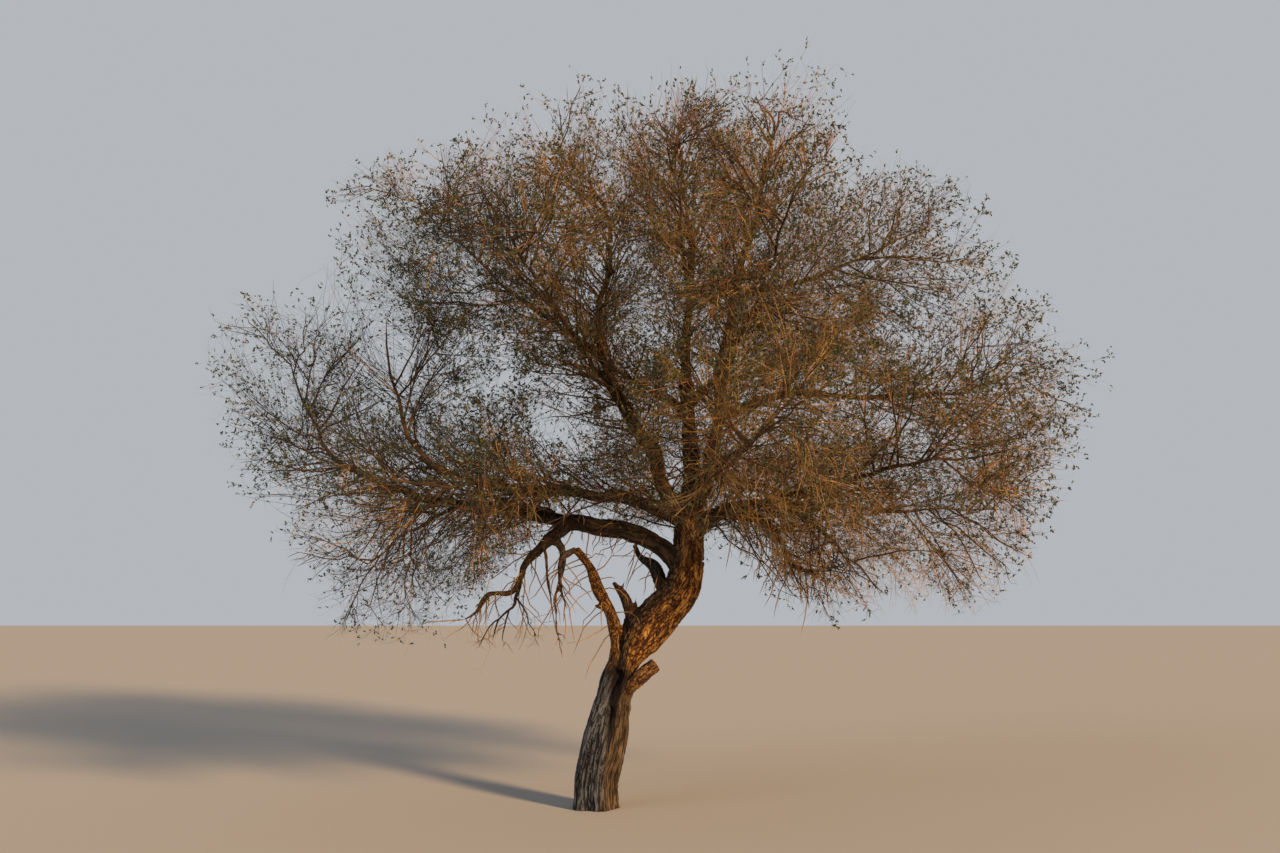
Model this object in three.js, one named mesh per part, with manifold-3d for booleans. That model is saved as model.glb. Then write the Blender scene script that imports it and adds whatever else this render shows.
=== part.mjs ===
// A lone acacia with a short leaning trunk and a wide, twiggy crown, in millimetres.
// X runs to the right as the tree is usually seen, Y runs away from that viewer, Z is up.
// The origin is the middle of the flat cut at ground level.
import * as THREE from 'three';
import { mergeVertices } from 'three/addons/utils/BufferGeometryUtils.js';
import Module from 'manifold-3d';

const wasm = await Module();
wasm.setup();
const { Manifold } = wasm;

// Driving sizes of the trunk
const trunkLength = 1010;
const trunkLean = [1, 11, 13, 12, 24];
const trunkFace = [0, -5, -2, 1, 3];
const trunkThick = [300, 315, 330, 312, 262, 290];
const flareSpread = 62;
const flareHeight = 110;
const fluteCount = 5;
const fluteDepth = 0.07;
const fluteFade = 1.4;
const fluteTwist = 40;
const cleftDepth = 0.2;
const cleftSide = -75;
const cleftSpread = 24;
const trunkRings = 10;
const trunkRingCrowding = 1.3;
const trunkSides = 16;

// Clearances: between touching solids, between two spaces of foliage, and from twig to limb
const gap = 0.3;
const cutAllowance = 0.5;
const spaceMargin = 12;
const limbMargin = 8;

// Each limb starts on its parent and is made of equal stretches. Lean is the angle of a stretch
// from the vertical, face its compass angle from +X towards +Y, thick the diameter along it.
const limbs = [
  { name: 'great_limb', from: 'trunk', at: 1, length: 940, sides: 10,
    lean: [31, 38, 36, 13], face: [2, 5, 6, 10], thick: [282, 292, 300, 278, 244] },
  { name: 'upper_stem', from: 'great_limb', at: 1, length: 310, sides: 10,
    lean: [3, 2], face: [-12, -140], thick: [240, 236, 212] },
  { name: 'slender_limb', from: 'trunk', at: 0.93, shift: [-50, -8, 0], length: 1020, sides: 7,
    lean: [5, 7, 18, 29, 21, 38], face: [-68, -110, -152, -168, -172, 178], thick: [100, 90, 76, 58] },
  { name: 'slender_limb_tip', from: 'slender_limb', at: 1, length: 500, sides: 5,
    lean: [125, 170, 172, 160], face: [-175, -128, -11, -6], thick: [50, 30, 12] },
  { name: 'dead_snag', from: 'great_limb', at: 0.3, shift: [-72, 22, 24], length: 420, sides: 6,
    lean: [20, 19, 38], face: [-170, -167, -172], thick: [98, 72, 20] },
  { name: 'broken_stub', from: 'trunk', at: 0.76, shift: [0, -20, 0], length: 440, sides: 7,
    lean: [48, 53, 52], face: [-36, -24, -14], thick: [110, 96, 84] },
  { name: 'hooked_limb', from: 'great_limb', at: 0.62, shift: [20, 30, 20], length: 560, sides: 6,
    lean: [50, 34, 27, 58, 30], face: [136, 134, 153, 177, 180], thick: [94, 86, 66, 26] },
  { name: 'arch_bough', from: 'great_limb', at: 0.88, length: 1040, sides: 8,
    lean: [38, 56, 77, 80, 81], face: [-176, -176, -176, -176, -176], thick: [160, 142, 130, 118] },
  { name: 'arch_bough_end', from: 'arch_bough', at: 1, length: 1500, sides: 7,
    lean: [78, 85, 78, 70], face: [-176, -175, -172, -178], thick: [112, 90, 64, 40] },
  { name: 'forearm_bough', from: 'arch_bough', at: 0.93, length: 690, sides: 7,
    lean: [124, 132, 164], face: [-145, -153, -148], thick: [96, 90, 60, 28] },
  { name: 'forearm_knot', from: 'forearm_bough', at: 0.3, length: 330, sides: 6,
    lean: [140, 172, 170], face: [20, 30, -160], thick: [74, 56, 34] },
  { name: 'gnarled_spur', from: 'forearm_bough', at: 0.8, length: 620, sides: 5,
    lean: [150, 100, 142, 118], face: [-170, -176, 176, 178], thick: [46, 44, 36, 14] },
  { name: 'long_left_bough', from: 'upper_stem', at: 0.8, length: 1820, sides: 7,
    lean: [70, 83, 88, 78], face: [-145, -162, -173, -178], thick: [104, 92, 74, 52] },
  { name: 'left_leader', from: 'upper_stem', at: 0.7, length: 2380, sides: 8,
    lean: [32, 19, 32, 27, 12, 9, 8], face: [-170, -164, -174, 173, 167, 10, 20],
    thick: [170, 140, 106, 66, 40] },
  { name: 'centre_leader', from: 'upper_stem', at: 1, length: 2520, sides: 8,
    lean: [9, 14, 7, 6, 5, 8], face: [64, 105, 118, -8, -55, -150], thick: [190, 150, 112, 76, 40] },
  { name: 'right_leader', from: 'upper_stem', at: 0.85, length: 2760, sides: 8,
    lean: [24, 13, 7, 9, 17, 12], face: [-34, -41, -27, -1, 6, 20], thick: [160, 132, 104, 78, 40] },
  { name: 'crooked_bough', from: 'upper_stem', at: 0.5, length: 1230, sides: 7,
    lean: [52, 76, 104, 126, 158, 120], face: [-35, -31, -26, -24, -24, -7], thick: [110, 94, 70, 44, 26] },
];

// Each mass of foliage keeps to an ellipsoid about its middle. It hangs on a bough that leaves
// the named limb part way up, or straight on that limb's tip where at is 1. Lift bends its shoots
// up (positive) or lets them droop (negative), and a bare mass is dead twigs with no leaves.
const masses = [
  { name: 'far_left', from: 'arch_bough_end', at: 1,
    middle: [-2250, -120, 2960], half: [850, 850, 830], lift: 0.3 },
  { name: 'left_drooping', from: 'arch_bough_end', at: 0.5,
    middle: [-1470, -450, 1950], half: [760, 850, 800], lift: -0.2 },
  { name: 'forearm_hanging', from: 'forearm_bough', at: 1,
    middle: [-680, -330, 1420], half: [480, 420, 460], lift: -0.4, bare: true },
  { name: 'front_left_low', from: 'long_left_bough', at: 0.55,
    middle: [-1050, -1500, 2250], half: [950, 850, 750], lift: -0.05 },
  { name: 'front_low', from: 'right_leader', at: 0.12,
    middle: [1000, -1850, 2500], half: [850, 950, 700], lift: -0.05 },
  { name: 'front_right_low', from: 'crooked_bough', at: 0.25,
    middle: [2180, -1450, 2400], half: [830, 900, 780], lift: -0.1 },
  { name: 'right_low', from: 'upper_stem', at: 0.9,
    middle: [2600, 100, 2230], half: [900, 900, 850], lift: -0.1 },
  { name: 'right_hanging', from: 'right_low_bough', at: 0.55,
    middle: [1750, -480, 1980], half: [800, 700, 650], lift: -0.35 },
  { name: 'back_right_low', from: 'centre_leader', at: 0.1,
    middle: [1950, 1550, 2400], half: [950, 950, 850], lift: -0.1 },
  { name: 'back_low', from: 'upper_stem', at: 0.75,
    middle: [450, 1950, 2450], half: [950, 950, 800], lift: -0.1 },
  { name: 'back_left_low', from: 'arch_bough', at: 0.8,
    middle: [-1250, 1150, 2450], half: [1000, 950, 850], lift: -0.05 },
  { name: 'left_middle', from: 'long_left_bough', at: 1,
    middle: [-1300, -450, 2950], half: [850, 850, 760], lift: 0.1 },
  { name: 'front_left_middle', from: 'left_leader', at: 0.35,
    middle: [-450, -1500, 3650], half: [900, 850, 800], lift: 0.05 },
  { name: 'front_middle', from: 'right_leader', at: 0.4,
    middle: [1150, -1650, 3650], half: [900, 900, 850], lift: 0.05 },
  { name: 'right_middle', from: 'right_leader', at: 0.3,
    middle: [3050, -100, 3080], half: [950, 950, 700], lift: 0.05 },
  { name: 'back_right_middle', from: 'centre_leader', at: 0.35,
    middle: [1850, 1500, 3700], half: [950, 950, 850], lift: 0.05 },
  { name: 'back_left_middle', from: 'centre_leader', at: 0.3,
    middle: [-150, 1600, 3700], half: [1000, 950, 850], lift: 0.05 },
  { name: 'upper_left', from: 'left_leader', at: 0.6,
    middle: [-1120, -100, 4130], half: [950, 900, 830], lift: 0.15 },
  { name: 'upper_right', from: 'right_leader', at: 0.62,
    middle: [2160, -100, 4060], half: [900, 950, 780], lift: 0.12 },
  { name: 'upper_front', from: 'centre_leader', at: 0.72,
    middle: [550, -700, 4450], half: [850, 800, 780], lift: 0.15 },
  { name: 'upper_back', from: 'centre_leader', at: 0.78,
    middle: [750, 1150, 4650], half: [900, 850, 800], lift: 0.15 },
  { name: 'top_left', from: 'left_leader', at: 1,
    middle: [-310, 50, 4760], half: [780, 750, 770], lift: 0.2 },
  { name: 'top_centre', from: 'centre_leader', at: 1,
    middle: [620, 150, 5030], half: [650, 700, 660], lift: 0.2 },
  { name: 'top_right', from: 'right_leader', at: 1,
    middle: [1400, 0, 5080], half: [680, 800, 850], lift: 0.2 },
];

// The boughs that carry the masses: their diameter from limb to mass, how large a share of its
// limb's diameter one may take, and how far its two ends pull on the curve between them
const boughThick = [92, 46, 32];
const boughShare = 0.72;
const boughPull = [0.38, 0.3];
const boughSteps = 3;
const boughSides = 5;
const limbFollow = 0.55;

// A bough ends at this share of the way from the middle of its space to its wall, no more than
// the second share of the way back to its limb, and this deep inside the flat walls
const entryShare = [0.9, 0.86];
const entryStep = 0.03;
const entryMargin = 70;

// The growth rule, one row for each order of shoot: the stem of a mass, its branches, their twigs.
// A side shoot leaves through one of the flat sides of its parent, part way up it.
const orders = [
  { steps: 3, sides: 4, thick: [32, 16] },
  { steps: 2, sides: 3, thick: [16, 10], count: 8, share: 0.72, spread: [42, 74], wander: 0.16 },
  { steps: 1, sides: 3, thick: [10, 6], count: 1, share: 0.6, spread: [34, 60], wander: 0.2 },
];
const firstSide = 0.08;
const sideStretch = 0.88;
const goldenShare = 0.618034;
const sideShare = 0.381966;
const sideJitter = 0.16;
const reachShare = 0.94;
const shortestShoot = 220;
const stemBend = 0.35;
const stemSeed = 977;
const sideRoom = 1.9;
const roomTaper = 0.8;
const stepLift = 0.3;
const sideLift = 0.5;
const lengthFade = [1.2, 0.45];
const lengthChance = [0.8, 0.4];

// Numbers of the draws that a shoot's seed gives, besides those for its wandering from 0 up
const spreadDraw = 90;
const turnDraw = 91;
const lengthDraw = 92;
const jitterDraw = 93;
const leafDraw = 300;
const seedDraw = 1000;

// Leaf sprays: long flat blades, larger than life, widest near the root, which is sunk in the twig
const leafLength = 390;
const leafWidth = 150;
const leafThick = 10;
const leafWidest = 0.35;
const leafSink = 0.45;
const leafSpread = 42;
const leafSpacing = 350;
const lastLeaf = 0.96;

const barkBrown = { color: '#6f5335', roughness: 0.9, metalness: 0 };
const barkGrey = { color: '#86796a', roughness: 0.92, metalness: 0 };
const foliageGreen = { color: '#6b6440', roughness: 0.85, metalness: 0 };
const foliageStraw = { color: '#8a6a45', roughness: 0.85, metalness: 0 };

const radians = THREE.MathUtils.degToRad;
const up = new THREE.Vector3(0, 0, 1);

function vector(list) {
  return new THREE.Vector3(...list);
}

// A number from 0 to 1 that depends only on a seed and the number of the draw
function chance(seed, draw) {
  let mixed = Math.imul(seed ^ Math.imul(draw + 1, 0x9e3779b1), 0x85ebca6b);
  mixed ^= mixed >>> 13;
  mixed = Math.imul(mixed, 0xc2b2ae35);
  mixed ^= mixed >>> 16;
  return (mixed >>> 0) / 4294967296;
}

function seedOf(seed, index) {
  return Math.floor(chance(seed, seedDraw + index) * 4294967295) | 0;
}

// The value at a fraction of an evenly spaced list, by straight interpolation
function along(list, fraction) {
  const place = Math.min(Math.max(fraction, 0), 1) * (list.length - 1);
  const index = Math.min(Math.floor(place), list.length - 2);
  return list[index] + (list[index + 1] - list[index]) * (place - index);
}

function pointAlong(points, fraction) {
  const place = fraction * (points.length - 1);
  const index = Math.min(Math.floor(place), points.length - 2);
  return points[index].clone().lerp(points[index + 1], place - index);
}

function headingAlong(points, fraction) {
  const index = Math.min(Math.floor(fraction * (points.length - 1)), points.length - 2);
  return points[index + 1].clone().sub(points[index]).normalize();
}

function heading(lean, face) {
  const across = Math.sin(radians(lean));
  return new THREE.Vector3(
    across * Math.cos(radians(face)),
    across * Math.sin(radians(face)),
    Math.cos(radians(lean)),
  );
}

// The centre line of a limb: one point at the end of each stretch
function limbPath(start, length, leans, faces) {
  const points = [start.clone()];
  leans.forEach((lean, index) => {
    const step = heading(lean, faces[index]).multiplyScalar(length / leans.length);
    points.push(points[index].clone().add(step));
  });
  return points;
}

function toManifold(geometry) {
  const bare = geometry.clone();
  bare.deleteAttribute('normal');
  bare.deleteAttribute('uv');
  const merged = mergeVertices(bare, 1e-3);
  return new Manifold(new wasm.Mesh({
    numProp: 3,
    vertProperties: new Float32Array(merged.attributes.position.array),
    triVerts: new Uint32Array(merged.index.array),
  }));
}

// Three square directions at each point of a line: along it and two across it, turned as little
// as possible from one point to the next
function framesOf(points) {
  const last = points.length - 1;
  const alongX = Math.abs(headingAlong(points, 0).x) > 0.9;
  let right = alongX ? new THREE.Vector3(0, 1, 0) : new THREE.Vector3(1, 0, 0);
  return points.map((point, index) => {
    const ahead = points[Math.min(index + 1, last)];
    const behind = points[Math.max(index - 1, 0)];
    const onward = ahead.clone().sub(behind).normalize();
    right = right.clone().addScaledVector(onward, -right.dot(onward)).normalize();
    return { onward, right, other: right.clone().cross(onward) };
  });
}

// A cylinder bent along a line of points, with a radius at each of them. The outline multiplies
// the radius at an angle round the section.
function bentTube(points, radii, sides, outline = () => 1) {
  const steps = points.length - 1;
  const geometry = new THREE.CylinderGeometry(1, 1, 1, sides, steps);
  const frames = framesOf(points);
  const position = geometry.attributes.position;
  for (let vertex = 0; vertex < position.count; vertex += 1) {
    const index = Math.round((position.getY(vertex) + 0.5) * steps);
    const acrossX = position.getX(vertex);
    const acrossZ = position.getZ(vertex);
    const angle = THREE.MathUtils.radToDeg(Math.atan2(-acrossZ, acrossX));
    const radius = radii[index] * outline(angle, index / steps);
    const moved = points[index].clone()
      .addScaledVector(frames[index].right, acrossX * radius)
      .addScaledVector(frames[index].other, acrossZ * radius);
    position.setXYZ(vertex, moved.x, moved.y, moved.z);
  }
  return geometry;
}

// A line of points made longer at both ends by the same allowance
function lengthened(points, allowance) {
  const last = points.length - 1;
  const longer = points.map((point) => point.clone());
  longer[0].addScaledVector(headingAlong(points, 0), -allowance);
  longer[last].addScaledVector(headingAlong(points, 1), allowance);
  return longer;
}

function largestBody(solid) {
  const bodies = solid.decompose();
  return bodies.reduce((best, body) => (body.volume() > best.volume() ? body : best));
}

// The trunk: fluted, flared at the foot, with a cleft down its front towards the fork
const trunkPath = limbPath(new THREE.Vector3(), trunkLength, trunkLean, trunkFace);

const trunkHeight = trunkPath[trunkPath.length - 1].z;

function trunkRadius(point) {
  const flare = flareSpread * Math.exp(-point.z / flareHeight);
  return along(trunkThick, point.z / trunkHeight) / 2 + flare;
}

function trunkOutline(angle, fraction) {
  const wave = Math.cos(radians(fluteCount * angle + fluteTwist * fraction));
  const flutes = fluteDepth * (fluteFade - fraction) * wave;
  const turn = THREE.MathUtils.euclideanModulo(angle - cleftSide + 180, 360) - 180;
  const cleft = cleftDepth * fraction * Math.exp(-((turn / cleftSpread) ** 2));
  return 1 + flutes - cleft;
}

function trunkSolid(extra) {
  const fine = [];
  for (let ring = 0; ring <= trunkRings; ring += 1) {
    fine.push(pointAlong(trunkPath, (ring / trunkRings) ** trunkRingCrowding));
  }
  const radii = fine.map((point) => trunkRadius(point) + extra);
  const geometry = bentTube(lengthened(fine, extra), radii, trunkSides, trunkOutline);
  const position = geometry.attributes.position;
  for (let vertex = 0; vertex < position.count; vertex += 1) {
    if (position.getZ(vertex) < fine[1].z / 2) {
      position.setZ(vertex, -extra);
    }
  }
  return toManifold(geometry);
}

// Every limb by name: its centre line and its radius at each point of it
const limbBook = { trunk: { points: trunkPath, radii: trunkPath.map(trunkRadius) } };

function layLimb(limb) {
  const parent = limbBook[limb.from].points;
  const start = pointAlong(parent, limb.at).add(vector(limb.shift ?? [0, 0, 0]));
  if (limb.at === 1) {
    start.addScaledVector(heading(limb.lean[0], limb.face[0]), gap);
  }
  const points = limbPath(start, limb.length, limb.lean, limb.face);
  const radii = points.map((point, index) => along(limb.thick, index / (points.length - 1)) / 2);
  limbBook[limb.name] = { points, radii, sides: limb.sides };
}
limbs.forEach(layLimb);

// Spaces of foliage. A point belongs to the ellipsoid it is in, and of several to the one whose
// middle it is nearest, counted from a ball of that mass's size. Each space is convex.
const foliage = masses.map((mass, index) => ({
  ...mass,
  index,
  middle: vector(mass.middle),
  half: vector(mass.half),
  ball: Math.cbrt(mass.half[0] * mass.half[1] * mass.half[2]),
}));

function wallDistance(own, other, point) {
  const apart = own.middle.distanceTo(other.middle);
  const ownScore = point.distanceToSquared(own.middle) - own.ball ** 2;
  const otherScore = point.distanceToSquared(other.middle) - other.ball ** 2;
  return (otherScore - ownScore) / (2 * apart);
}

function inSpace(mass, point, margin) {
  const inEllipsoid = point.clone().sub(mass.middle).divide(mass.half).length() < 1 - margin / mass.ball;
  return inEllipsoid && foliage.every(
    (other) => other === mass || wallDistance(mass, other, point) > margin,
  );
}

// How far a point can go in a direction before it leaves the space
function reachOf(mass, point, direction, margin) {
  const from = point.clone().sub(mass.middle).divide(mass.half);
  const going = direction.clone().divide(mass.half);
  const square = going.lengthSq();
  const half = from.dot(going);
  const rest = from.lengthSq() - (1 - margin / mass.ball) ** 2;
  let reach = (-half + Math.sqrt(Math.max(half * half - square * rest, 0))) / square;
  foliage.filter((other) => other !== mass).forEach((other) => {
    const towards = other.middle.clone().sub(mass.middle).normalize().dot(direction);
    if (towards > 0) {
      reach = Math.min(reach, (wallDistance(mass, other, point) - margin) / towards);
    }
  });
  return Math.max(reach, 0);
}

// The boughs that carry the masses, each a smooth curve from its limb into the space
function layBough(mass) {
  const parent = limbBook[mass.from];
  const start = pointAlong(parent.points, mass.at);
  if (mass.at === 1) {
    mass.entry = start;
    mass.carrier = mass.from;
    mass.stemThick = parent.radii[parent.radii.length - 1] * 2;
    mass.stemHeading = headingAlong(parent.points, 1);
    return;
  }
  const outside = start.clone().sub(mass.middle).divide(mass.half).length();
  let share = Math.min(entryShare[0] / outside, entryShare[1]);
  let entry = mass.middle.clone().lerp(start, share);
  while (!inSpace(mass, entry, entryMargin)) {
    share -= entryStep;
    entry = mass.middle.clone().lerp(start, share);
  }
  const inward = mass.middle.clone().sub(entry).normalize()
    .addScaledVector(up, mass.lift * limbFollow).normalize();
  const span = entry.distanceTo(start);
  const leaving = headingAlong(parent.points, mass.at).multiplyScalar(limbFollow)
    .add(entry.clone().sub(start).normalize()).normalize();
  const curve = new THREE.CubicBezierCurve3(
    start,
    start.clone().addScaledVector(leaving, span * boughPull[0]),
    entry.clone().addScaledVector(inward, -span * boughPull[1]),
    entry,
  );
  const points = curve.getPoints(boughSteps);
  const rootThick = Math.min(2 * along(parent.radii, mass.at) * boughShare, boughThick[0]);
  const thick = [rootThick, ...boughThick.slice(1)];
  const radii = points.map((point, index) => along(thick, index / boughSteps) / 2);
  const name = `${mass.name}_bough`;
  limbBook[name] = { points, radii, sides: boughSides };
  mass.entry = entry;
  mass.carrier = name;
  mass.stemThick = boughThick[2];
  mass.stemHeading = headingAlong(points, 1);
}
foliage.forEach(layBough);

// The least distance between two straight pieces
function pieceDistance(startA, endA, startB, endB) {
  const runA = endA.clone().sub(startA);
  const runB = endB.clone().sub(startB);
  const between = startA.clone().sub(startB);
  const squareA = runA.lengthSq();
  const squareB = runB.lengthSq();
  const cross = runA.dot(runB);
  const alongA = runA.dot(between);
  const alongB = runB.dot(between);
  const spread = squareA * squareB - cross * cross;
  let shareA = spread > 1e-6 ? (cross * alongB - alongA * squareB) / spread : 0;
  shareA = THREE.MathUtils.clamp(shareA, 0, 1);
  const shareB = THREE.MathUtils.clamp((cross * shareA + alongB) / squareB, 0, 1);
  shareA = THREE.MathUtils.clamp((cross * shareB - alongA) / squareA, 0, 1);
  const nearA = startA.clone().addScaledVector(runA, shareA);
  const nearB = startB.clone().addScaledVector(runB, shareB);
  return nearA.distanceTo(nearB);
}

function touchesLimb(start, end, radius) {
  return Object.values(limbBook).some((limb) => limb.points.slice(1).some((point, index) => {
    const room = radius + limbMargin + Math.max(limb.radii[index], limb.radii[index + 1]);
    return pieceDistance(start, end, limb.points[index], point) < room;
  }));
}

// The radius of the round that fits inside a shoot's section at a fraction of its length
function innerRadius(shoot, fraction) {
  return (along(shoot.thick, fraction) / 2) * Math.cos(Math.PI / orders[shoot.order].sides);
}

// The way out of a shoot through one of its flat sides, at a fraction of its length
function sideHeading(parent, fraction, draw, seed, spread) {
  const { sides } = orders[parent.order];
  const frame = parent.frames[Math.floor(fraction * orders[parent.order].steps)];
  const side = Math.floor(sides * ((draw * sideShare + chance(parent.seed, turnDraw)) % 1));
  const angle = (2 * Math.PI * (side + 0.5 + sideJitter * (chance(seed, jitterDraw) - 0.5))) / sides;
  const outward = frame.right.clone().multiplyScalar(Math.sin(angle))
    .addScaledVector(frame.other, Math.cos(angle));
  const onward = headingAlong(parent.points, fraction);
  return { onward, outward, direction: onward.clone().multiplyScalar(Math.cos(radians(spread)))
    .addScaledVector(outward, Math.sin(radians(spread))) };
}

// The line of a shoot: it wanders a little at each step and bends by the lift of its mass
function shootPoints(shoot, mass) {
  const order = orders[shoot.order];
  const points = [shoot.start];
  const direction = shoot.heading.clone();
  for (let step = 0; step < order.steps; step += 1) {
    const stray = [0, 1, 2].map((axis) => order.wander * (2 * chance(shoot.seed, 3 * step + axis) - 1));
    direction.add(vector(stray)).addScaledVector(up, mass.lift * stepLift).normalize();
    points.push(points[step].clone().addScaledVector(direction, shoot.length / order.steps));
  }
  return points;
}

// Side shoot number index of a shoot, at a golden-ratio place along it
function sideShoot(parent, index, mass) {
  const rule = orders[parent.order + 1];
  const seed = seedOf(parent.seed, index);
  const fraction = firstSide + sideStretch * ((0.5 + index * goldenShare) % 1);
  const spread = rule.spread[0] + (rule.spread[1] - rule.spread[0]) * chance(seed, spreadDraw);
  const { direction } = sideHeading(parent, fraction, index, seed, spread);
  direction.addScaledVector(up, mass.lift * sideLift).normalize();
  const start = pointAlong(parent.points, fraction);
  const wanted = parent.length * rule.share * (lengthFade[0] - lengthFade[1] * fraction)
    * (lengthChance[0] + lengthChance[1] * chance(seed, lengthDraw));
  const length = Math.min(wanted, reachShare * reachOf(mass, start, direction, spaceMargin));
  const room = sideRoom * innerRadius(parent, fraction);
  const thick = [Math.min(rule.thick[0], room), Math.min(rule.thick[1], room * roomTaper)];
  return { order: parent.order + 1, start, heading: direction, length, seed, thick };
}

function shootRadii(shoot) {
  return shoot.points.map((point, index) => along(shoot.thick, index / orders[shoot.order].steps) / 2);
}

function shootFits(points, radius, mass) {
  return points.slice(1).every((point, index) => inSpace(mass, point, spaceMargin)
    && !touchesLimb(points[index], point, radius));
}

// The stem of a mass curves from its bough through the middle of the space to the far side
function stemOf(mass) {
  const start = mass.entry.clone().addScaledVector(mass.stemHeading, gap);
  const across = mass.middle.clone().sub(start).normalize().addScaledVector(up, mass.lift).normalize();
  const length = reachShare * reachOf(mass, start, across, spaceMargin);
  const bend = start.clone().addScaledVector(mass.stemHeading, length * stemBend);
  const curve = new THREE.QuadraticBezierCurve3(start, bend, start.clone().addScaledVector(across, length));
  const points = curve.getPoints(orders[0].steps);
  const thick = [mass.stemThick, orders[0].thick[1]];
  return { order: 0, points, length, seed: seedOf(stemSeed, mass.index), thick };
}

// A blade of eight faces whose root lies inside the shoot and whose plane runs along it
function leafSolid(root, direction, flat) {
  const geometry = new THREE.OctahedronGeometry(1);
  const position = geometry.attributes.position;
  for (let vertex = 0; vertex < position.count; vertex += 1) {
    const x = position.getX(vertex);
    const share = x > 0.5 ? 1 : 0;
    position.setX(vertex, leafLength * (x < -0.5 ? 0 : leafWidest + (1 - leafWidest) * share));
    position.setY(vertex, (position.getY(vertex) * leafWidth) / 2);
    position.setZ(vertex, (position.getZ(vertex) * leafThick) / 2);
  }
  const frame = new THREE.Matrix4().makeBasis(direction, flat, direction.clone().cross(flat));
  geometry.applyMatrix4(frame.setPosition(root));
  return geometry;
}

// The leaf sprays of a shoot, evenly spaced from near its tip back towards its root
function leavesOf(shoot, mass) {
  const leaves = [];
  const places = Math.round(shoot.length / leafSpacing);
  for (let place = 0; place < places; place += 1) {
    const fraction = lastLeaf - (place * leafSpacing) / shoot.length;
    const seed = seedOf(shoot.seed, leafDraw + place);
    const { onward, outward, direction } = sideHeading(shoot, fraction, place, seed, leafSpread);
    const root = pointAlong(shoot.points, fraction)
      .addScaledVector(outward, (-leafSink * along(shoot.thick, fraction)) / 2);
    const end = root.clone().addScaledVector(direction, leafLength);
    const flat = outward.multiplyScalar(Math.cos(radians(leafSpread)))
      .addScaledVector(onward, -Math.sin(radians(leafSpread)));
    const fits = inSpace(mass, end, spaceMargin) && inSpace(mass, root, leafWidth / 2 + spaceMargin);
    if (fits && !touchesLimb(root, end, leafWidth / 2)) {
      leaves.push(leafSolid(root, direction, flat));
    }
  }
  return leaves;
}

// One mass of foliage: its stem, its branches, twigs on every other branch, and the leaf sprays,
// all fused into one solid and cut clear of the bough that carries it
function foliageSolid(mass) {
  const stem = stemOf(mass);
  stem.frames = framesOf(stem.points);
  const grown = [stem];
  for (let place = 0; place < grown.length; place += 1) {
    const parent = grown[place];
    const rule = orders[parent.order + 1];
    const branches = rule && place % 2 === 0;
    for (let index = 0; branches && index < rule.count; index += 1) {
      const shoot = sideShoot(parent, index, mass);
      shoot.points = shootPoints(shoot, mass);
      shoot.frames = framesOf(shoot.points);
      if (shoot.length > shortestShoot && shootFits(shoot.points, rule.thick[0] / 2, mass)) {
        grown.push(shoot);
      }
    }
  }
  const shoots = grown.map((shoot) => bentTube(shoot.points, shootRadii(shoot), orders[shoot.order].sides));
  const leaves = mass.bare ? [] : grown.flatMap((shoot) => leavesOf(shoot, mass));
  const fused = Manifold.union([...shoots, ...leaves].map(toManifold));
  return largestBody(fused.subtract(cutterOf(limbBook[mass.carrier])));
}

function toMesh(name, solid, material) {
  const { vertProperties, triVerts } = solid.getMesh();
  const geometry = new THREE.BufferGeometry();
  geometry.setAttribute('position', new THREE.BufferAttribute(vertProperties, 3));
  geometry.setIndex(new THREE.BufferAttribute(triVerts, 1));
  geometry.computeVertexNormals();
  const mesh = new THREE.Mesh(geometry, new THREE.MeshStandardMaterial(material));
  mesh.name = name;
  return mesh;
}

// A limb made larger all round by the cut allowance, to cut what touches it
function cutterOf(limb) {
  const radii = limb.radii.map((radius) => radius + cutAllowance);
  return toManifold(bentTube(lengthened(limb.points, cutAllowance), radii, limb.sides));
}

// Limbs in order, each cut clear of every earlier limb that it springs from or passes
const tree = new THREE.Group();
tree.add(toMesh('trunk', trunkSolid(0), barkGrey));
const cutters = [trunkSolid(cutAllowance)];
Object.entries(limbBook).filter(([name]) => name !== 'trunk').forEach(([name, limb]) => {
  let solid = toManifold(bentTube(limb.points, limb.radii, limb.sides));
  cutters.forEach((cutter) => {
    solid = solid.subtract(cutter);
  });
  tree.add(toMesh(name, largestBody(solid), barkBrown));
  cutters.push(cutterOf(limb));
});

foliage.forEach((mass) => {
  const material = mass.bare ? foliageStraw : foliageGreen;
  tree.add(toMesh(`${mass.name}_foliage`, foliageSolid(mass), material));
});

export default tree;
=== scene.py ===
import math

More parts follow.
